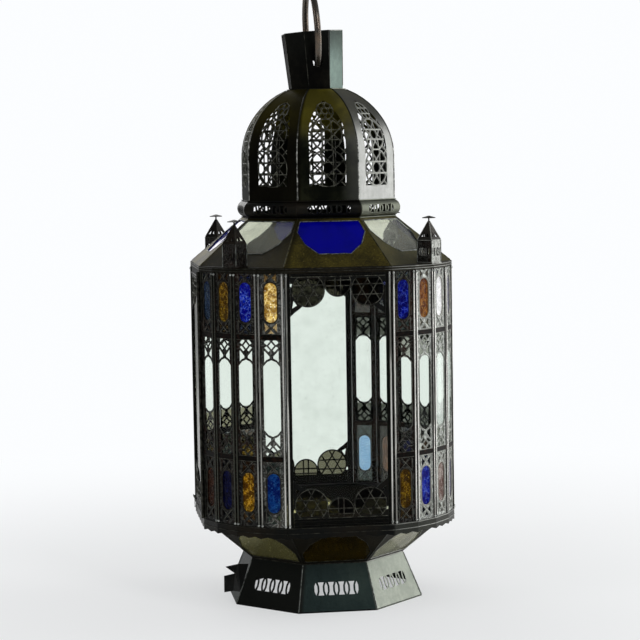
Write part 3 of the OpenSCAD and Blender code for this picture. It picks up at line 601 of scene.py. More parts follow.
FAR_SIDE = ((0.0, 1.0, 0.0), 0.1, 0.3)
CLEAR_TINT = rgb(240, 245, 240)
CLEAR_HAZE = rgb(176, 186, 176)
clear_pane = pane("clear_pane", CLEAR_TINT, CLEAR_HAZE, 0.16, bend=1.13)
amber_pane = pane("amber_pane", rgb(66, 52, 6), rgb(16, 11, 4), 1.0, 0.72, 0.12, 0.3,
                  rgb(240, 232, 170), FAR_SIDE)
cobalt_pane = pane("cobalt_pane", rgb(0, 0, 150), rgb(0, 4, 112), 0.7, 0.3, 0.08, 0.3)
dusty_pane = pane("dusty_pane", rgb(218, 218, 194), rgb(166, 166, 144), 0.8, 0.72, 0.2, 0.2,
                  rgb(138, 134, 88), LEFT_DIAGONAL)
grimy_pane = pane("grimy_pane", rgb(116, 116, 104), rgb(84, 83, 72), 0.7, 1.0, 0.06, bend=1.1)
roof_pane = pane("roof_pane", rgb(234, 236, 224), rgb(196, 198, 184), 0.5, 0.95, 0.03, 0.15)
dress(amber_pane, "taper_glass_amber")
dress(dusty_pane, "taper_glass_clear")

body_ap, _, body_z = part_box("sill_ring")[1]
head_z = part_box("head_ring")[1][2]
body_h = head_z - body_z
half_side = body_ap * math.tan(HALF_SIDE)
SHEET = 1.2 * MM
PANE_SHARES = [(0.91, 0.06), (0.91, 0.28), (0.66, 0.535), (0.34, 0.735)]


def slope_place(angle, ap_low, z_low, ap_high, z_high):
    """Frame of a sloping side: X across, Y up the slope, Z outwards."""
    tilt = math.atan2(z_high - z_low, ap_low - ap_high)
    return (Matrix.Rotation(angle, 4, "Z") @ Matrix.Translation((0, -ap_low, z_low))
            @ Matrix.Rotation(tilt, 4, "X"))


def pane_rim(narrow, wide, slope, flip):
    half = []
    for across, up in PANE_SHARES:
        x = across * (narrow + (wide - narrow) * up)
        half.append((x, slope - up * slope if flip else up * slope))
    ring = half + [(-x, y) for x, y in reversed(half)]
    return ring + ring[:1]


def rims_round(low, high, rim):
    """The rims of the panes of eight slopes, each from an apothem and height up to another."""
    places = [slope_place(i * math.pi / 4, *low, *high) for i in range(8)]
    return [[place @ Vector((x, y, 0)) for x, y in rim] for place in places]


taper_slope = math.hypot(body_ap - neck_ap, body_z - neck_z - 2 * SHEET)
taper_rim = pane_rim(neck_ap * math.tan(HALF_SIDE), half_side, taper_slope, False)
taper_rims = rims_round((neck_ap, neck_z + SHEET), (body_ap, body_z - SHEET), taper_rim)
TAPER_BEAD_R = 0.9 * MM
bead("taper_pane_solder", taper_rims, TAPER_BEAD_R, edge_metal, uneven=1.3 * MM, lumps=160.0)
bead("taper_seams", octagon_seams(neck_ap, neck_z + 2 * SHEET, body_ap - 2 * MM, body_z - 4 * MM),
     TAPER_BEAD_R, edge_metal, uneven=0.8 * MM, sides=8)

# The rounded corners: four narrow sheets each, stamped, pierced and glazed, joined by half-round
# cames. Thin raised wires are soldered round the openings and cross over and under the jewels.
CORNER_BULGE = 23.5 * MM
STRIPS = 4
JEWEL_TIER = 121 * MM
JEWEL_W = 27 * MM
JEWEL_H = 74 * MM
SLOT_W = 31 * MM
STRAP_H = 8 * MM
LATTICE_H = 36 * MM
POINT_H = 11.5 * MM
arc_r = (half_side ** 2 + CORNER_BULGE ** 2) / (2 * CORNER_BULGE)
arc_back = body_ap + CORNER_BULGE - arc_r
strip_turn = 2 * math.asin(half_side / arc_r) / STRIPS
strip_w = 2 * arc_r * math.sin(strip_turn / 2)
strip_ap = arc_r * math.cos(strip_turn / 2)
CORNERS = ["front_right", "back_right", "back_left", "front_left"]
FACING = Matrix.Rotation(math.pi / 2, 4, "X")


def corner_place(corner, out):
    """Frame at a rounded corner, this far out from the middle of the lantern."""
    return (Matrix.Rotation(math.pi / 4 + corner * math.pi / 2, 4, "Z")
            @ Matrix.Translation((0, -out, 0)))


def strip_place(corner, strip):
    """Frame of a corner strip: X across, Y up from the foot of the body, Z outwards."""
    return (corner_place(corner, arc_back)
            @ Matrix.Rotation((strip - (STRIPS - 1) / 2) * strip_turn, 4, "Z")
            @ Matrix.Translation((0, -strip_ap, body_z)) @ FACING)


def wide_place(side):
    """Frame of a wide side, counted from the front: X across, Y up, Z outwards."""
    return (Matrix.Rotation(side * math.pi / 2, 4, "Z")
            @ Matrix.Translation((0, -body_ap, body_z)) @ FACING)


def stadium(width, height, y, count=8):
    r = width / 2
    rise = (height - width) / 2
    turns = [math.pi * i / count for i in range(count + 1)]
    top = [(r * math.cos(t), y + rise + r * math.sin(t)) for t in turns]
    foot = [(-r * math.cos(t), y - rise - r * math.sin(t)) for t in turns]
    return top + foot + top[:1]


# The direction of the painted reflection on the front right strips and their wires.
SHEEN_TURN = math.radians(50.65)
SHEEN_TOWARD = (math.sin(SHEEN_TURN), -math.cos(SHEEN_TURN), 0.0)
STRIP_SIDE = (SHEEN_TOWARD, 0.9565, 0.958)
WIRE_SIDE = (SHEEN_TOWARD, 0.93, 0.97)
LEFT_STRIP = ((-0.4718, -0.8817, 0.0), 0.9945, 0.9955)
# Painted reflection on the front right strips, and a fainter painted highlight on a front left strip.
corner_sheet = stamped_brass("corner_sheet", rgb(14, 15, 13), rgb(50, 30, 21), rgb(186, 190, 184),
                             70.0, 1.35, STRIP_SIDE, second_sheen=LEFT_STRIP)
CAME_INSET = 3.3 * MM
FRONT_PART = ((0.3, -0.954, 0.0), 0.48, 0.82)


def wide_rise(coat):
    """How far a point stands out from the plane of a wide side."""
    x, y, _ = coat.split()
    return x.size().larger(y.size()) - body_ap


def corner_rise(coat):
    """How far a point stands out from the corner strips, at their cames."""
    centre = arc_back * math.sqrt(0.5)
    x, y, _ = coat.split()
    across = x.size() - centre
    along = y.size() - centre
    return (across * across + along * along).root() - math.hypot(strip_ap, strip_w / 2 - CAME_INSET)


def came_finish(name, rise, stain):
    """Blackened sheet and drawn tin: black where it lies flat, with a painted highlight along the
    crowns of the uprights, brightest at the front and on the right."""
    coat = Finish(name)
    patch = coat.cloud(140.0, 4.0, (1.0, 1.0, 0.05), 0.5)
    fine = coat.cloud(200.0, 5.0, roughness=0.65)
    x, y, _ = coat.split()
    upright = coat.band(x.size().smaller(y.size()), 80 * MM, 86 * MM)
    # Painted highlight: the crowns of the cames are mixed from a dull tone to a bright one, brightest at the
    # front and on the right.
    crown = coat.band(rise(coat), 1.5 * MM, 2.15 * MM) * (0.3 + 0.7 * upright)
    bright = side_share(coat, FRONT_PART) * (1.0 - 0.75 * coat.band(patch, 0.5, 0.62))
    tin = coat.mixed(rgb(64, 66, 58), rgb(226, 226, 220), bright)
    flat = coat.mixed(rgb(11, 12, 11), stain, coat.band(fine, 0.46, 0.7))
    return coat.surface({"Base Color": coat.mixed(flat, tin, crown), "Metallic": 0.75,
                         "Roughness": (0.5 - 0.25 * crown).clamped(), "Specular IOR Level": 0.15,
                         "Normal": coat.bump(fine, 0.15, 0.001)})


corner_came = came_finish("corner_came", corner_rise, rgb(48, 30, 22))
side_came = came_finish("side_came", wide_rise, rgb(30, 29, 23))
dress(corner_sheet, *["panels_" + corner for corner in CORNERS])
dress(corner_came, *["cames_" + corner for corner in CORNERS])

jewel_centres = [JEWEL_TIER / 2, body_h - JEWEL_TIER / 2]
slot_low = JEWEL_TIER + STRAP_H / 2 + LATTICE_H
slot_high = body_h - JEWEL_TIER - STRAP_H / 2 - LATTICE_H
slot_wire_x = SLOT_W / 2 + MM
strap_wire_x = strip_w / 2 - 6 * MM
STRAP_WIRE_Y = 4.7 * MM
STRAP_WIRE_OUT = 0.3 * MM
SHOULDER = (0.28, 0.3)
# The wires past the tip of a jewel, and the bars of the lattice past the point of the long
# opening, each across and up from there, in mm
CROSS_WIRES = [[(-14.5, -5.5), (0, 8.4), (10, 17.4)], [(14.5, -4), (14.5, 16)]]
LATTICE_BARS = [[(0, 33.2), (7.2, 25.3), (0, 17.6)], [(14.4, 21), (0, 6)], [(7.2, 25.3), (14.4, 25.4)]]


def wires_past(point, end, flip, wires):
    """Wires from a point on a strip's middle line, turned to one end and one side."""
    return [[(flip * across * MM, point + end * up * MM) for across, up in wire] for wire in wires]


strip_lines = []
for y in jewel_centres:
    for end in (-1, 1):
        for flip in (-1, 1):
            strip_lines += wires_past(y + end * JEWEL_H / 2, end, flip, CROSS_WIRES)
for end, mouth in ((1, slot_high), (-1, slot_low)):
    for flip in (-1, 1):
        strip_lines.append([(flip * slot_wire_x, mouth - end * POINT_H),
                            (flip * SLOT_W * SHOULDER[0], mouth - end * POINT_H * SHOULDER[1] + end * MM),
                            (0, mouth + end * 1.2 * MM)])
        strip_lines += wires_past(mouth, end, flip, LATTICE_BARS)
for x in (slot_wire_x, -slot_wire_x):
    strip_lines.append([(x, slot_low + POINT_H), (x, slot_high - POINT_H)])
for y in (JEWEL_TIER, body_h - JEWEL_TIER):
    for up in (y - STRAP_WIRE_Y, y + STRAP_WIRE_Y):
        strip_lines.append([(x, up, STRAP_WIRE_OUT) for x in (-strap_wire_x, strap_wire_x)])
wire_metal = solder_finish("wire_metal", rgb(26, 26, 22), rgb(120, 121, 110),
                           rgb(186, 188, 180), WIRE_SIDE)
rim_metal = solder_finish("rim_metal", rgb(26, 24, 20), rgb(66, 64, 56),
                          rgb(176, 176, 168), WIRE_SIDE)
WIRE_STEP = 2.5 * MM
RIM_R = 1.5 * MM
RIM_DEPTH = 0.9 * MM
for corner, name in enumerate(CORNERS):
    paths, rims = [], []
    for strip in range(STRIPS):
        place = strip_place(corner, strip)
        for line in strip_lines:
            paths.append([place @ Vector((*p, 0.0) if len(p) == 2 else p) for p in line])
        for centre in jewel_centres:
            outline = stadium(JEWEL_W - MM, JEWEL_H - MM, centre)
            rims.append([place @ Vector((x, y, -RIM_DEPTH)) for x, y in outline])
    bead("wires_" + name, paths, 0.55 * MM, wire_metal, uneven=0.25 * MM, step=WIRE_STEP)
    bead("jewel_rims_" + name, rims, RIM_R, rim_metal, uneven=0.8 * MM, sides=8)

# The jewels: short panes of hammered glass behind the round-ended openings, blue and gold in
# turn, and the other way round in the lower tier.
DIMPLE = 5.0 * MM
DIMPLE_DEPTH = 0.6 * MM
DIMPLES = 130
JEWEL_STEP = 1.9 * MM
GLASS = 3 * MM


def hammered_pane(place, half_w, half_h, y, seed):
    """An oblong pane with a dimpled face, as points and faces."""
    random.seed(seed)
    rows = int(2 * half_h / JEWEL_STEP)
    columns = int(2 * half_w / JEWEL_STEP)
    dents = [(random.uniform(-half_w, half_w), random.uniform(-half_h, half_h))
             for _ in range(DIMPLES)]
    front, back, lit = [], [], []
    for j in range(rows + 1):
        up = -half_h + 2 * half_h * j / rows
        for i in range(columns + 1):
            across = -half_w + 2 * half_w * i / columns
            near = min((across - dx) ** 2 + (up - dy) ** 2 for dx, dy in dents)
            dip = DIMPLE_DEPTH * math.exp(-near / (DIMPLE * 0.5) ** 2)
            front.append(place @ Vector((across, y + up, -SHEET - 0.1 * MM - dip)))
            back.append(place @ Vector((across, y + up, -SHEET - GLASS)))
            lit.append(opened(across, up))
    wide = columns + 1
    count = len(front)
    faces = []
    for j in range(rows):
        for i in range(columns):
            a = j * wide + i
            faces.append((a, a + 1, a + wide + 1, a + wide))
            faces.append((a + count, a + count + wide, a + count + wide + 1, a + count + 1))
    ring = ([i for i in range(columns)] + [j * wide + columns for j in range(rows)]
            + [rows * wide + i for i in range(columns, 0, -1)] + [j * wide for j in range(rows, 0, -1)])
    for here, there in zip(ring, ring[1:] + ring[:1]):
        faces.append((there, here, here + count, there + count))
    return front + back, faces, lit + [0.0] * count


def jewel_glass(name, deep, pale, glint_tone, glow, beyond):
    """Hammered coloured glass: deep in tone, with pale veins and painted glints. The back of a pane is
    plain, only the part in the opening has a painted glow, and the rest has its own tone."""
    coat = Finish(name)
    lit = coat.read(coat.node("Attribute", {"attribute_name": "open"}), "Fac")
    cell = coat.cells(230.0)
    swirl = coat.cloud(90.0, 5.0, roughness=0.6)
    rim = coat.cells(150.0, "DISTANCE_TO_EDGE")
    vein = (1.0 - coat.band(rim, 0.0, 0.09)) * coat.band(swirl, 0.42, 0.58)
    # Painted glints: bright specks mixed towards the glint tone.
    glint = (1.0 - coat.band(coat.cells(210.0), 0.14, 0.3)) * coat.band(coat.cloud(52.0, 3.0), 0.5, 0.6)
    tone = coat.mixed(deep, pale, (0.6 * coat.band(swirl, 0.46, 0.62) + 0.5 * vein).clamped())
    tone = coat.mixed(tone, glint_tone, (0.95 * glint + 0.3 * vein).clamped())
    tone = coat.mixed(beyond, tone, coat.band(lit, 0.5, 0.6))
    plain = (0.9, 0.9, 0.9, 1.0)
    black = (0.0, 0.0, 0.0, 1.0)
    # Painted glow: the glass in the opening emits its own tone.
    return coat.surface({"Base Color": coat.mixed(plain, tone, coat.band(lit, 0.05, 0.35)),
                         "Roughness": (0.06 + 0.2 * swirl).clamped(),
                         "IOR": 1.16, "Transmission Weight": 0.75, "Specular IOR Level": 0.15,
                         "Emission Color": coat.mixed(black, tone, coat.band(lit, 0.5, 0.6)),
                         "Emission Strength": glow,
                         "Normal": coat.bump(cell + 0.6 * swirl, 0.5, 0.002)})


# Of each glass: its deep and pale tones, its painted glint tone, its painted glow, and its tone beyond the
# opening
GLASS_TONES = {
    "cobalt": ((0, 0, 112), (0, 30, 184), (150, 190, 255), 0.32, (18, 24, 40)),
    "ink": ((0, 0, 84), (0, 12, 156), (96, 132, 246), 0.34, (78, 92, 88)),
    "navy": ((0, 0, 36), (0, 2, 66), (6, 14, 84), 0.06, (6, 7, 14)),
    "sea": ((0, 22, 90), (2, 58, 130), (60, 126, 190), 0.28, (48, 62, 62)),
    "slate": ((22, 38, 60), (44, 66, 90), (84, 106, 130), 0.12, (22, 30, 38)),
    "sky": ((104, 172, 236), (120, 186, 246), (180, 220, 250), 0.1, (14, 30, 28)),
    "gold": ((104, 66, 8), (218, 176, 70), (255, 246, 205), 0.5, (158, 120, 66)),
    "honey": ((70, 42, 0), (178, 124, 4), (250, 214, 90), 0.36, (40, 22, 8)),
    "amber": ((58, 38, 2), (112, 80, 6), (226, 184, 50), 0.24, (40, 26, 8)),
    "copper": ((84, 36, 8), (146, 80, 12), (206, 156, 60), 0.3, (120, 116, 100)),
    "brown": ((38, 14, 4), (66, 30, 10), (90, 48, 20), 0.1, (24, 12, 7)),
    "clear": ((206, 206, 206), (250, 250, 250), (255, 255, 255), 0.6, (225, 225, 220)),
    "rose": ((120, 92, 84), (186, 172, 164), (225, 220, 214), 0.2, (176, 172, 164)),
    "lilac": ((112, 112, 128), (164, 162, 176), (215, 215, 225), 0.2, (150, 150, 156)),
    "wine": ((30, 14, 8), (70, 34, 16), (120, 70, 30), 0.05, (14, 12, 10)),
}
GLASSES = {}
for name, (deep, pale, glint_tone, glow, beyond) in GLASS_TONES.items():
    GLASSES[name] = jewel_glass(name + "_jewel", rgb(*deep), rgb(*pale), rgb(*glint_tone), glow, rgb(*beyond))
# The glass of each strip's upper and lower jewel, from left to right, corner by corner
UPPER = [["ink", "copper", "clear", "lilac"], ["cobalt", "honey", "navy", "brown"],
         ["cobalt", "gold", "cobalt", "amber"], ["slate", "amber", "cobalt", "gold"]]
LOWER = [["amber", "cobalt", "rose", "lilac"], ["brown", "navy", "wine", "sky"],
         ["honey", "slate", "amber", "navy"], ["brown", "navy", "honey", "sea"]]
EDGE_DEPTH = 4 * MM
BEHIND_SIDE = 1.7 * MM
BEHIND_END = 18.5 * MM


def opened(across, up):
    """0.4 behind the sheet, and from 0.6 at the edge of the opening to 1 in its middle."""
    straight = (JEWEL_H - JEWEL_W) / 2
    depth = JEWEL_W / 2 - math.hypot(across, max(abs(up) - straight, 0.0))
    return 0.4 if depth < 0 else 0.6 + 0.4 * min(depth / EDGE_DEPTH, 1.0)


for corner, corner_name in enumerate(CORNERS):
    for colour, first in (("blue", 0), ("gold", 1)):
        verts, faces, kinds, openness = [], [], [], []
        for strip in range(STRIPS):
            upper = (strip + first) % 2 == 0
            y = jewel_centres[1] if upper else jewel_centres[0]
            points, quads, lit = hammered_pane(strip_place(corner, strip), JEWEL_W / 2 + BEHIND_SIDE,
                                               JEWEL_H / 2 + BEHIND_END, y, corner * 10 + strip)
            start = len(verts)
            verts += points
            openness += lit
            faces += [tuple(start + v for v in quad) for quad in quads]
            kinds += [(UPPER if upper else LOWER)[corner][strip]] * len(quads)
        jewel_mesh = bpy.data.meshes.new(colour)
        jewel_mesh.from_pydata(verts, [], faces)
        jewel_mesh.attributes.new("open", "FLOAT", "POINT").data.foreach_set("value", openness)
        used = sorted(set(kinds))
        for kind in used:
            jewel_mesh.materials.append(GLASSES[kind])
        for face, kind in zip(jewel_mesh.polygons, kinds):
            face.use_smooth = True
            face.material_index = used.index(kind)
        jewel = as_piece(colour + "_jewels_" + corner_name, jewel_mesh, "lantern")
        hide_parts(colour + "_panes_" + corner_name)


def lattice_pane(name):
    """The long panes: clear glass, tinted darker behind the lattices on the right and low down on the
    left, darkest behind the back-right lattices."""
    coat = Finish(name)
    x, y, z = coat.split()
    low = 1.0 - coat.band(z, body_z + slot_low - 2 * MM, body_z + slot_low + 5 * MM)
    high = coat.band(z, body_z + slot_high - 5 * MM, body_z + slot_high + 2 * MM)
    right = coat.band(x, 0.0, 20 * MM)
    back = coat.band(y, -20 * MM, 0.0)
    left = 1.0 - coat.band(x - 70 * MM * back, -142 * MM, -136 * MM)
    cloud = coat.cloud(120.0, 5.0)
    lattice_tone = coat.mixed(rgb(118, 116, 90), rgb(150, 152, 142), right)
    lattice_tone = coat.mixed(lattice_tone, rgb(66, 70, 60), right * back)
    share = (right * low.larger(high)).larger(left * low) * (0.7 + 0.5 * cloud)
    specks = coat.band(coat.cloud(260.0, 2.0), 0.68, 0.76)
    tone = coat.mixed(coat.mixed(CLEAR_TINT, CLEAR_HAZE, 0.5 * specks), lattice_tone, share.clamped())
    return coat.surface({"Base Color": tone, "Roughness": (0.2 * specks).clamped(), "IOR": 1.13,
                         "Transmission Weight": 1.0, "Normal": coat.bump(coat.cloud(30.0, 1.0), 0.06, 0.002)})


dress(lattice_pane("lattice_pane"), *["long_panes_" + corner for corner in CORNERS])

# The apron under the body is a plain strip snipped into a fringe, and the band round its head
# has two raised lines.
dress(dark_brass, "top_band", "head_ring")
BAND_LINES = (body_h - 2.2 * MM, body_h - 6.5 * MM)
APRON_LINES = (-1.5 * MM, -11 * MM)


def lines_round_body(heights):
    """Lines along the wide sides and the strips of the corners, at these heights."""
    lines = []
    for side in range(4):
        spans = [(wide_place(side), half_side)]
        spans += [(strip_place(side, strip), strip_w / 2) for strip in range(STRIPS)]
        for y in heights:
            lines += [[place @ Vector((x, y, SHEET)) for x in (-half, half)] for place, half in spans]
    return lines


bead("band_lines", lines_round_body(BAND_LINES), 0.7 * MM, edge_metal, uneven=0.3 * MM)
bead("apron_lines", lines_round_body(APRON_LINES), 0.8 * MM, edge_metal, uneven=0.5 * MM)

# The wide windows, and the door, which is made like them: a sheet frame with cames and beads,
# one large clear pane, and two pierced valances. Their tracery has a raised wire on each bar.
WINDOWS = ["front", "right", "back"]
dress(side_came, *[name + "_window_frame" for name in WINDOWS], "door_frame")
dress(edge_metal, "door_hinge_barrels", "post_hinge_barrels")
dress(black_sheet, *[name + "_valances" for name in WINDOWS], "door_valances")
dress(clear_pane, *[name + "_window_glass" for name in WINDOWS])
dress(grimy_pane, "door_glass")
RAIL_H = 14 * MM
STILE_W = 11 * MM
BAR_W = 2.6 * MM
half_open = half_side - STILE_W
DOOR_SIDE = 3
DOOR_LIFT = 0.5 * MM
DOOR_SHORT = 11 * MM
FILM_DEPTHS = (0.45 * MM, 0.9 * MM)
# Of a medallion: its place across and down and its radius, as shares of half the opening, its
# bars, and how far from its middle they pass, as a share of its radius
LARGE = (0.625, 0.29, 0.355, 6, 0.3)
SMALL = (0.0, 0.15, 0.29, 4, 0.2)


def star_lines(cx, cy, r, bars, share, bar_w=BAR_W):
    """Centre lines of the bars of a round tracery, and of its rim."""
    lines = []
    for i in range(bars):
        turn = 2 * math.pi * i / bars
        reach = math.sqrt(1 - share ** 2) * r
        ends = []
        for x in (-reach, 0, reach):
            ends.append((cx + x * math.cos(turn) - share * r * math.sin(turn),
                         cy + x * math.sin(turn) + share * r * math.cos(turn)))
        lines.append(ends)
    rim_r = r - bar_w / 2
    turns = [t * math.pi / 16 for t in range(33)]
    return lines + [[(cx + rim_r * math.cos(t), cy + rim_r * math.sin(t)) for t in turns]]


def within(line, low, high, wide):
    """The parts of a line inside the opening, cut finely."""
    kept, run = [], []
    for (x0, y0), (x1, y1) in zip(line, line[1:]):
        for k in range(9):
            x = x0 + (x1 - x0) * k / 8
            y = y0 + (y1 - y0) * k / 8
            if low <= y <= high and abs(x) <= wide:
                if not run or (abs(run[-1][0] - x) + abs(run[-1][1] - y)) > 1e-6:
                    run.append((x, y))
            elif run:
                kept.append(run)
                run = []
    if run:
        kept.append(run)
    return [run for run in kept if len(run) > 1]


def valance_lines():
    lines = []
    for share_x, drop, r, bars, share in (LARGE, SMALL):
        for flip in ((-1, 1) if share_x else (1,)):
            lines += star_lines(flip * share_x * half_open, -drop * half_open, r * half_open, bars, share)
    kept = []
    for line in lines:
        kept += within(line, -half_open, -2 * MM, half_open - 2 * MM)
    kept.append([(-half_open + MM, -1.2 * MM), (half_open - MM, -1.2 * MM)])
    return kept


tracery = valance_lines()
smoked = pane("smoked_film", rgb(50, 48, 39), rgb(22, 21, 16), 0.6, 1.0, 0.03, 0.2,
              rgb(116, 112, 94), FAR_SIDE, 1.1)


def film_outline():
    """The scalloped outline of the three medallions, under the rail."""
    columns = []
    for i in range(121):
        x = (-1 + 2 * i / 120) * (half_open - MM)
        deep = 0.0
        for share_x, drop, r, _, _ in (LARGE, SMALL):
            for flip in ((-1, 1) if share_x else (1,)):
                off = abs(x - flip * share_x * half_open) / ((r - 0.02) * half_open)
                if off < 1:
                    deep = min(deep, -drop * half_open - math.sqrt(1 - off * off) * (r - 0.02) * half_open)
        columns.append((x, deep))
    return columns


film_edge = film_outline()
for side in range(4):
    body, name, lift, tall = "lantern", None, 0.0, body_h - SHEET
    if side == DOOR_SIDE:
        body, name, lift, tall = "door", "door", DOOR_LIFT, body_h - DOOR_SHORT
    name = name or WINDOWS[side]
    place = wide_place(side) @ Matrix.Translation((0, lift, 0))
    paths = []
    for line in tracery:
        paths.append([place @ Vector((x, tall - RAIL_H + y, 0)) for x, y in line])
        paths.append([place @ Vector((x, RAIL_H - y, 0)) for x, y in line])
    bead("tracery_" + name, paths, 0.6 * MM, wire_metal, body, uneven=0.3 * MM, step=WIRE_STEP)
    film = bmesh.new()
    for hang in (-1, 1):
        base = tall - RAIL_H if hang < 0 else RAIL_H
        for (x0, y0), (x1, y1) in zip(film_edge, film_edge[1:]):
            if y0 > -2 * MM or y1 > -2 * MM:
                continue
            sheets = []
            for depth in FILM_DEPTHS:
                sheets.append([film.verts.new(place @ Vector((x, base - hang * y, -depth)))
                               for x, y in ((x0, 0), (x1, 0), (x1, y1), (x0, y0))])
            near, far = sheets
            for quad in ((near[0], near[1], near[2], near[3]), (far[3], far[2], far[1], far[0]),
                         (near[3], near[2], far[2], far[3]), (near[1], near[0], far[0], far[1])):
                film.faces.new(quad)
    bmesh.ops.remove_doubles(film, verts=film.verts, dist=0.01 * MM)
    bmesh.ops.recalc_face_normals(film, faces=film.faces)
    as_piece("smoked_film_" + name, finished(film, "film", smoked), body)
dress(dull_solder, "hook_rivet", "latch_peg", "door_hook")
dress(edge_metal, "hinge_pin")

# Beads of solder where the cames end, at the head and the foot of the body. They are dropped on
# by hand, so each has its own form, and they have stayed bright.
FOOT_DOT_R = 2.3 * MM
HEAD_DOT_R = 2.2 * MM
DOT_OUT = 1.6 * MM
random.seed(11)


def lump(sketch, centre, r):
    made = bmesh.ops.create_icosphere(sketch, subdivisions=2, radius=r, matrix=Matrix.Translation(centre))
    for vert in made["verts"]:
        vert.co += Vector([random.uniform(-0.12, 0.12) * r for _ in range(3)])


def pair_of_dots(sketch, place, x, low, drop):
    """A dot near the foot of a came and one near its head."""
    lump(sketch, place @ Vector((x, low, DOT_OUT)), FOOT_DOT_R)
    lump(sketch, place @ Vector((x, body_h - drop, DOT_OUT)), HEAD_DOT_R)


for body in ("lantern", "door"):
    sketch = bmesh.new()
    if body == "lantern":
        for corner in range(4):
            for strip in range(STRIPS):
                for edge in (-1, 1):
                    if corner == DOOR_SIDE and strip == 0 and edge == -1:
                        continue
                    x = edge * (strip_w / 2 - CAME_INSET)
                    pair_of_dots(sketch, strip_place(corner, strip), x, 2.5 * MM, 12.5 * MM)
    for side in range(4):
        if (side == DOOR_SIDE) != (body == "door"):
            continue
        for edge in (-1, 1):
            if side == DOOR_SIDE and edge == 1:
                continue
            x = edge * (half_side - 3.8 * MM)
            pair_of_dots(sketch, wide_place(side), x, 4.0 * MM, 14 * MM)
    dots = finished(sketch, "solder_dots", bright_solder)
    for face in dots.polygons:
        face.use_smooth = True
    as_piece("solder_dots_" + body, dots, body)

# The roof: eight stamped brass sheets with a pane each, cobalt on the flat sides and clear on
# the diagonals, soldered along the hips.
dress(olive_brass, "roof_panels")
dress(cobalt_pane, "roof_glass_blue")
dress(roof_pane, "roof_glass_clear")
roof_top_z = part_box("roof_panels")[1][2]
ROOF_TOP_AP = 135 * MM
roof_slope = math.hypot(body_ap - ROOF_TOP_AP, roof_top_z - head_z)
roof_rim = pane_rim(ROOF_TOP_AP * math.tan(HALF_SIDE), half_side, roof_slope, True)
roof_rims = rims_round((body_ap, head_z), (ROOF_TOP_AP, roof_top_z), roof_rim)
bead("roof_pane_solder", roof_rims, 1.0 * MM, dull_solder, uneven=2.4 * MM, lumps=120.0, step=2.5 * MM)
olive_solder = solder_finish("olive_solder", rgb(34, 32, 18), rgb(100, 96, 66))
bead("roof_hips", octagon_seams(body_ap - 2 * MM, head_z + MM, ROOF_TOP_AP, roof_top_z - MM),
     1.3 * MM, olive_solder, uneven=1.0 * MM, sides=8)

# The turrets on the corners are square towers folded from the same black sheet, with pointed
# caps. Thin lines of solder close their edges.
# Painted highlight on the tower faces that look to the front right.
tower_sheet = stamped_brass("tower_sheet", rgb(16, 14, 12), rgb(44, 30, 22), rgb(184, 186, 180), 110.0, 1.3,
                            RIGHT_PART, (DIAGONAL, 0.8, 0.95))
# The caps get a faint painted reflection on the front right.
cap_sheet = aged_sheet("cap_sheet", rgb(15, 14, 12), rgb(42, 34, 26), rgb(70, 70, 66), sheen=0.3)
dress(tower_sheet, "turret_towers")
dress(cap_sheet, "turret_caps")
TURRET_W = 30 * MM
CAP_RISE = 32 * MM
CAP_TIP_SHARE = 0.1
tower_foot = head_z + 2 * MM
tower_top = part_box("turret_towers")[1][2]
turret_out = body_ap + TURRET_W / 2 + SHEET
turret_paths = []
upright_paths = []
for corner in range(4):
    place = corner_place(corner, turret_out)
    h = TURRET_W / 2
    square = [(-h, -h), (h, -h), (h, h), (-h, h)]
    for z in (tower_foot, tower_top - MM):
        turret_paths.append([place @ Vector((x, y, z)) for x, y in square + square[:1]])
    for x, y in square:
        upright_paths.append([place @ Vector((x, y, z)) for z in (tower_foot, tower_top - MM)])
        tip = Vector((x * CAP_TIP_SHARE, y * CAP_TIP_SHARE, tower_top + CAP_RISE))
        turret_paths.append([place @ Vector((x, y, tower_top)), place @ tip])
bead("turret_seams", turret_paths, 0.6 * MM, edge_metal, uneven=0.4 * MM)
bead("turret_uprights", upright_paths, 0.9 * MM, dull_solder, uneven=0.8 * MM)

# The moulding under the dome is a half-round strip of blackened sheet, pierced all round. It is
# soldered to the roof and the dome, with a thin bright line above and below.
# The facet that faces the front right gets a painted reflection.
moulding_sheet = aged_sheet("moulding_sheet", rgb(14, 16, 15), rgb(33, 28, 20), rgb(108, 112, 98))
dress(moulding_sheet, "moulding_ring", "dome_cap_plate")
ring_low, ring_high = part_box("moulding_ring")
moulding_ap = ring_high[0]
LINE_INSET = 9.5 * MM
moulding_paths = [octagon_ring(moulding_ap - LINE_INSET, z)
                  for z in (ring_low[2] + 3 * MM, ring_high[2] - 3 * MM)]
bead("moulding_lines", moulding_paths, 0.8 * MM, edge_metal, uneven=0.3 * MM)

# The dome: eight gores, each pierced with three stars in a pointed arch. The seams between the
# gores are run with solder, and the bars of the stars are raised.
# Painted reflection on the gore at the front right with painted highlights beside it, and painted shade on
# the gores at the front left.
dome_sheet = aged_sheet("dome_sheet", rgb(17, 19, 15), rgb(42, 44, 30), rgb(142, 143, 140),
                        rough=0.34, sheen=0.85, relief=0.2, fading=(0.84, 0.91, rgb(112, 104, 34)),
                        left_shade=rgb(14, 12, 8), edge_sheen=0.16, dulled=0.5)
dress(dome_sheet, "dome_gores")
dome_low, dome_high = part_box("dome_gores")
dome_ap = dome_high[0]
dome_z = dome_low[2]
DOME_WALL = 77 * MM
spring_z = dome_z + DOME_WALL
gore_half = dome_ap * math.tan(HALF_SIDE)
gore_h = dome_high[2] - dome_z


def gore_ap(z):
    return dome_ap if z <= spring_z else math.sqrt(max(dome_ap ** 2 - (z - spring_z) ** 2, 0))


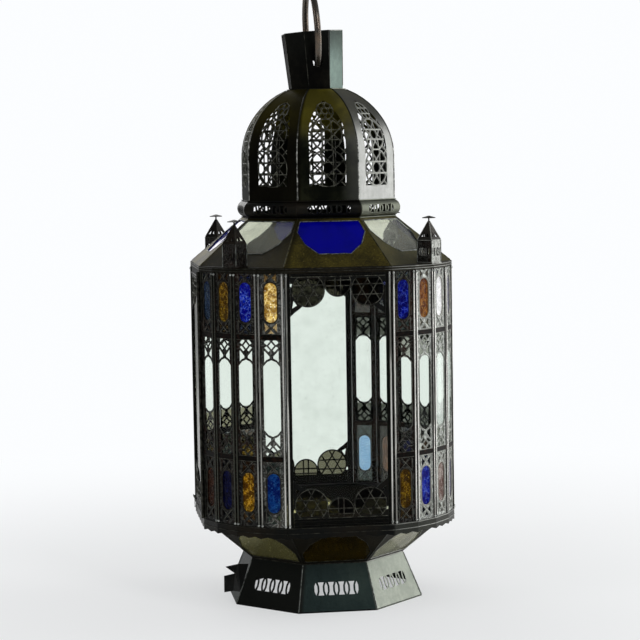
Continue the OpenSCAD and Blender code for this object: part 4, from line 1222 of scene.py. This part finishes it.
seam_solder = solder_finish("seam_solder", rgb(40, 41, 34), rgb(225, 226, 220), fading=(0.83, 0.875))
seam_heights = [dome_z + MM + (gore_h - 2 * MM) * i / 24 for i in range(25)]
bead("dome_seams", [[arris(a, gore_ap(z) - 0.3 * MM, z) for z in seam_heights] for a in OCTAGON],
     1.3 * MM, seam_solder, uneven=0.4 * MM, sides=8)
gore_paths = []
GORE_STARS = ((0.62, 0.285, 8), (0.53, 0.581, 8), (0.3, 0.795, 6))
GORE_BAR_W = 3 * MM
TIE_TURNS = (0, 45, 135, 180, 225, 315)
PANEL_HALF, PANEL_FOOT, PANEL_SPRING, PANEL_ARCH = 0.6, 0.125, 0.56, 2.5


def in_panel(x, y):
    """Whether a point of a gore lies in the pointed arch and outside the round stars."""
    half = PANEL_HALF * gore_half
    arch = PANEL_ARCH * half
    over = max(y - PANEL_SPRING * gore_h, 0.0)
    reach = math.sqrt(max(arch ** 2 - over ** 2, 0.0)) - (arch - half)
    clear = all(math.hypot(x, y - up * gore_h) > share * gore_half - MM for share, up, _ in GORE_STARS)
    return clear and abs(x) < reach and y > PANEL_FOOT * gore_h


def tie_line(up, share, turn):
    """A tie from the rim of a star to the edge of the panel."""
    line = []
    for k in range(40):
        reach = share * gore_half + (k - 0.5) * MM
        point = (reach * math.cos(math.radians(turn)), up * gore_h + reach * math.sin(math.radians(turn)))
        if k > 1 and not in_panel(*point):
            break
        line.append(point)
    return line


for i in range(8):
    turn = Matrix.Rotation(i * math.pi / 4, 4, "Z")
    for share, up, bars in GORE_STARS:
        lines = star_lines(0, up * gore_h, share * gore_half, bars, 0.3, GORE_BAR_W)
        lines += [line for line in (tie_line(up, share, tie) for tie in TIE_TURNS) if len(line) > 3]
        for line in lines:
            fine_line = []
            for (x0, y0), (x1, y1) in zip(line, line[1:]):
                steps = 2 if len(line) > 5 else 5
                fine_line += [(x0 + (x1 - x0) * k / steps, y0 + (y1 - y0) * k / steps) for k in range(steps)]
            fine_line.append(line[-1])
            gore_paths.append([turn @ Vector((x, -gore_ap(dome_z + y), dome_z + y)) for x, y in fine_line])
bead("dome_tracery", gore_paths, 0.9 * MM, wire_metal, uneven=0.3 * MM, step=2.5 * MM)

# The collar leans to the left and widens to its mouth. Its front right side is painted a
# lighter grey-green, a painted reflection, and a hanging ring of round rod goes through two holes in it.
collar_sheet = aged_sheet("collar_sheet", rgb(14, 14, 13), rgb(32, 30, 25), rgb(104, 120, 113),
                          rough=0.4, relief=0.2, fading=(0.97, 1.05, rgb(30, 32, 29)), dulled=0.8)
dress(collar_sheet, "collar")
rod_metal = aged_sheet("rod_metal", rgb(92, 88, 82), rgb(124, 104, 86), rgb(160, 152, 140),
                       rough=0.26, sheen=0.0, relief=0.2)
dress(rod_metal, "hanging_ring")
LEAN = math.radians(3.4)
collar_foot_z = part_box("dome_cap_plate")[1][2]
COLLAR_H = 104 * MM
COLLAR_FOOT_AP = 47.2 * MM
COLLAR_MOUTH_AP = 53.4 * MM
COLLAR_RIM_AP = 53.2 * MM
leaning = Matrix.Translation((0, 0, collar_foot_z)) @ Matrix.Rotation(-LEAN, 4, "Y")
collar_lines = [octagon_ring(COLLAR_RIM_AP, COLLAR_H - 0.8 * MM)]
collar_lines += octagon_seams(COLLAR_FOOT_AP, 3 * MM, COLLAR_MOUTH_AP, COLLAR_H - MM)
collar_paths = [[leaning @ point for point in line] for line in collar_lines]
bead("collar_seams", collar_paths, 0.7 * MM, edge_metal, uneven=0.4 * MM)
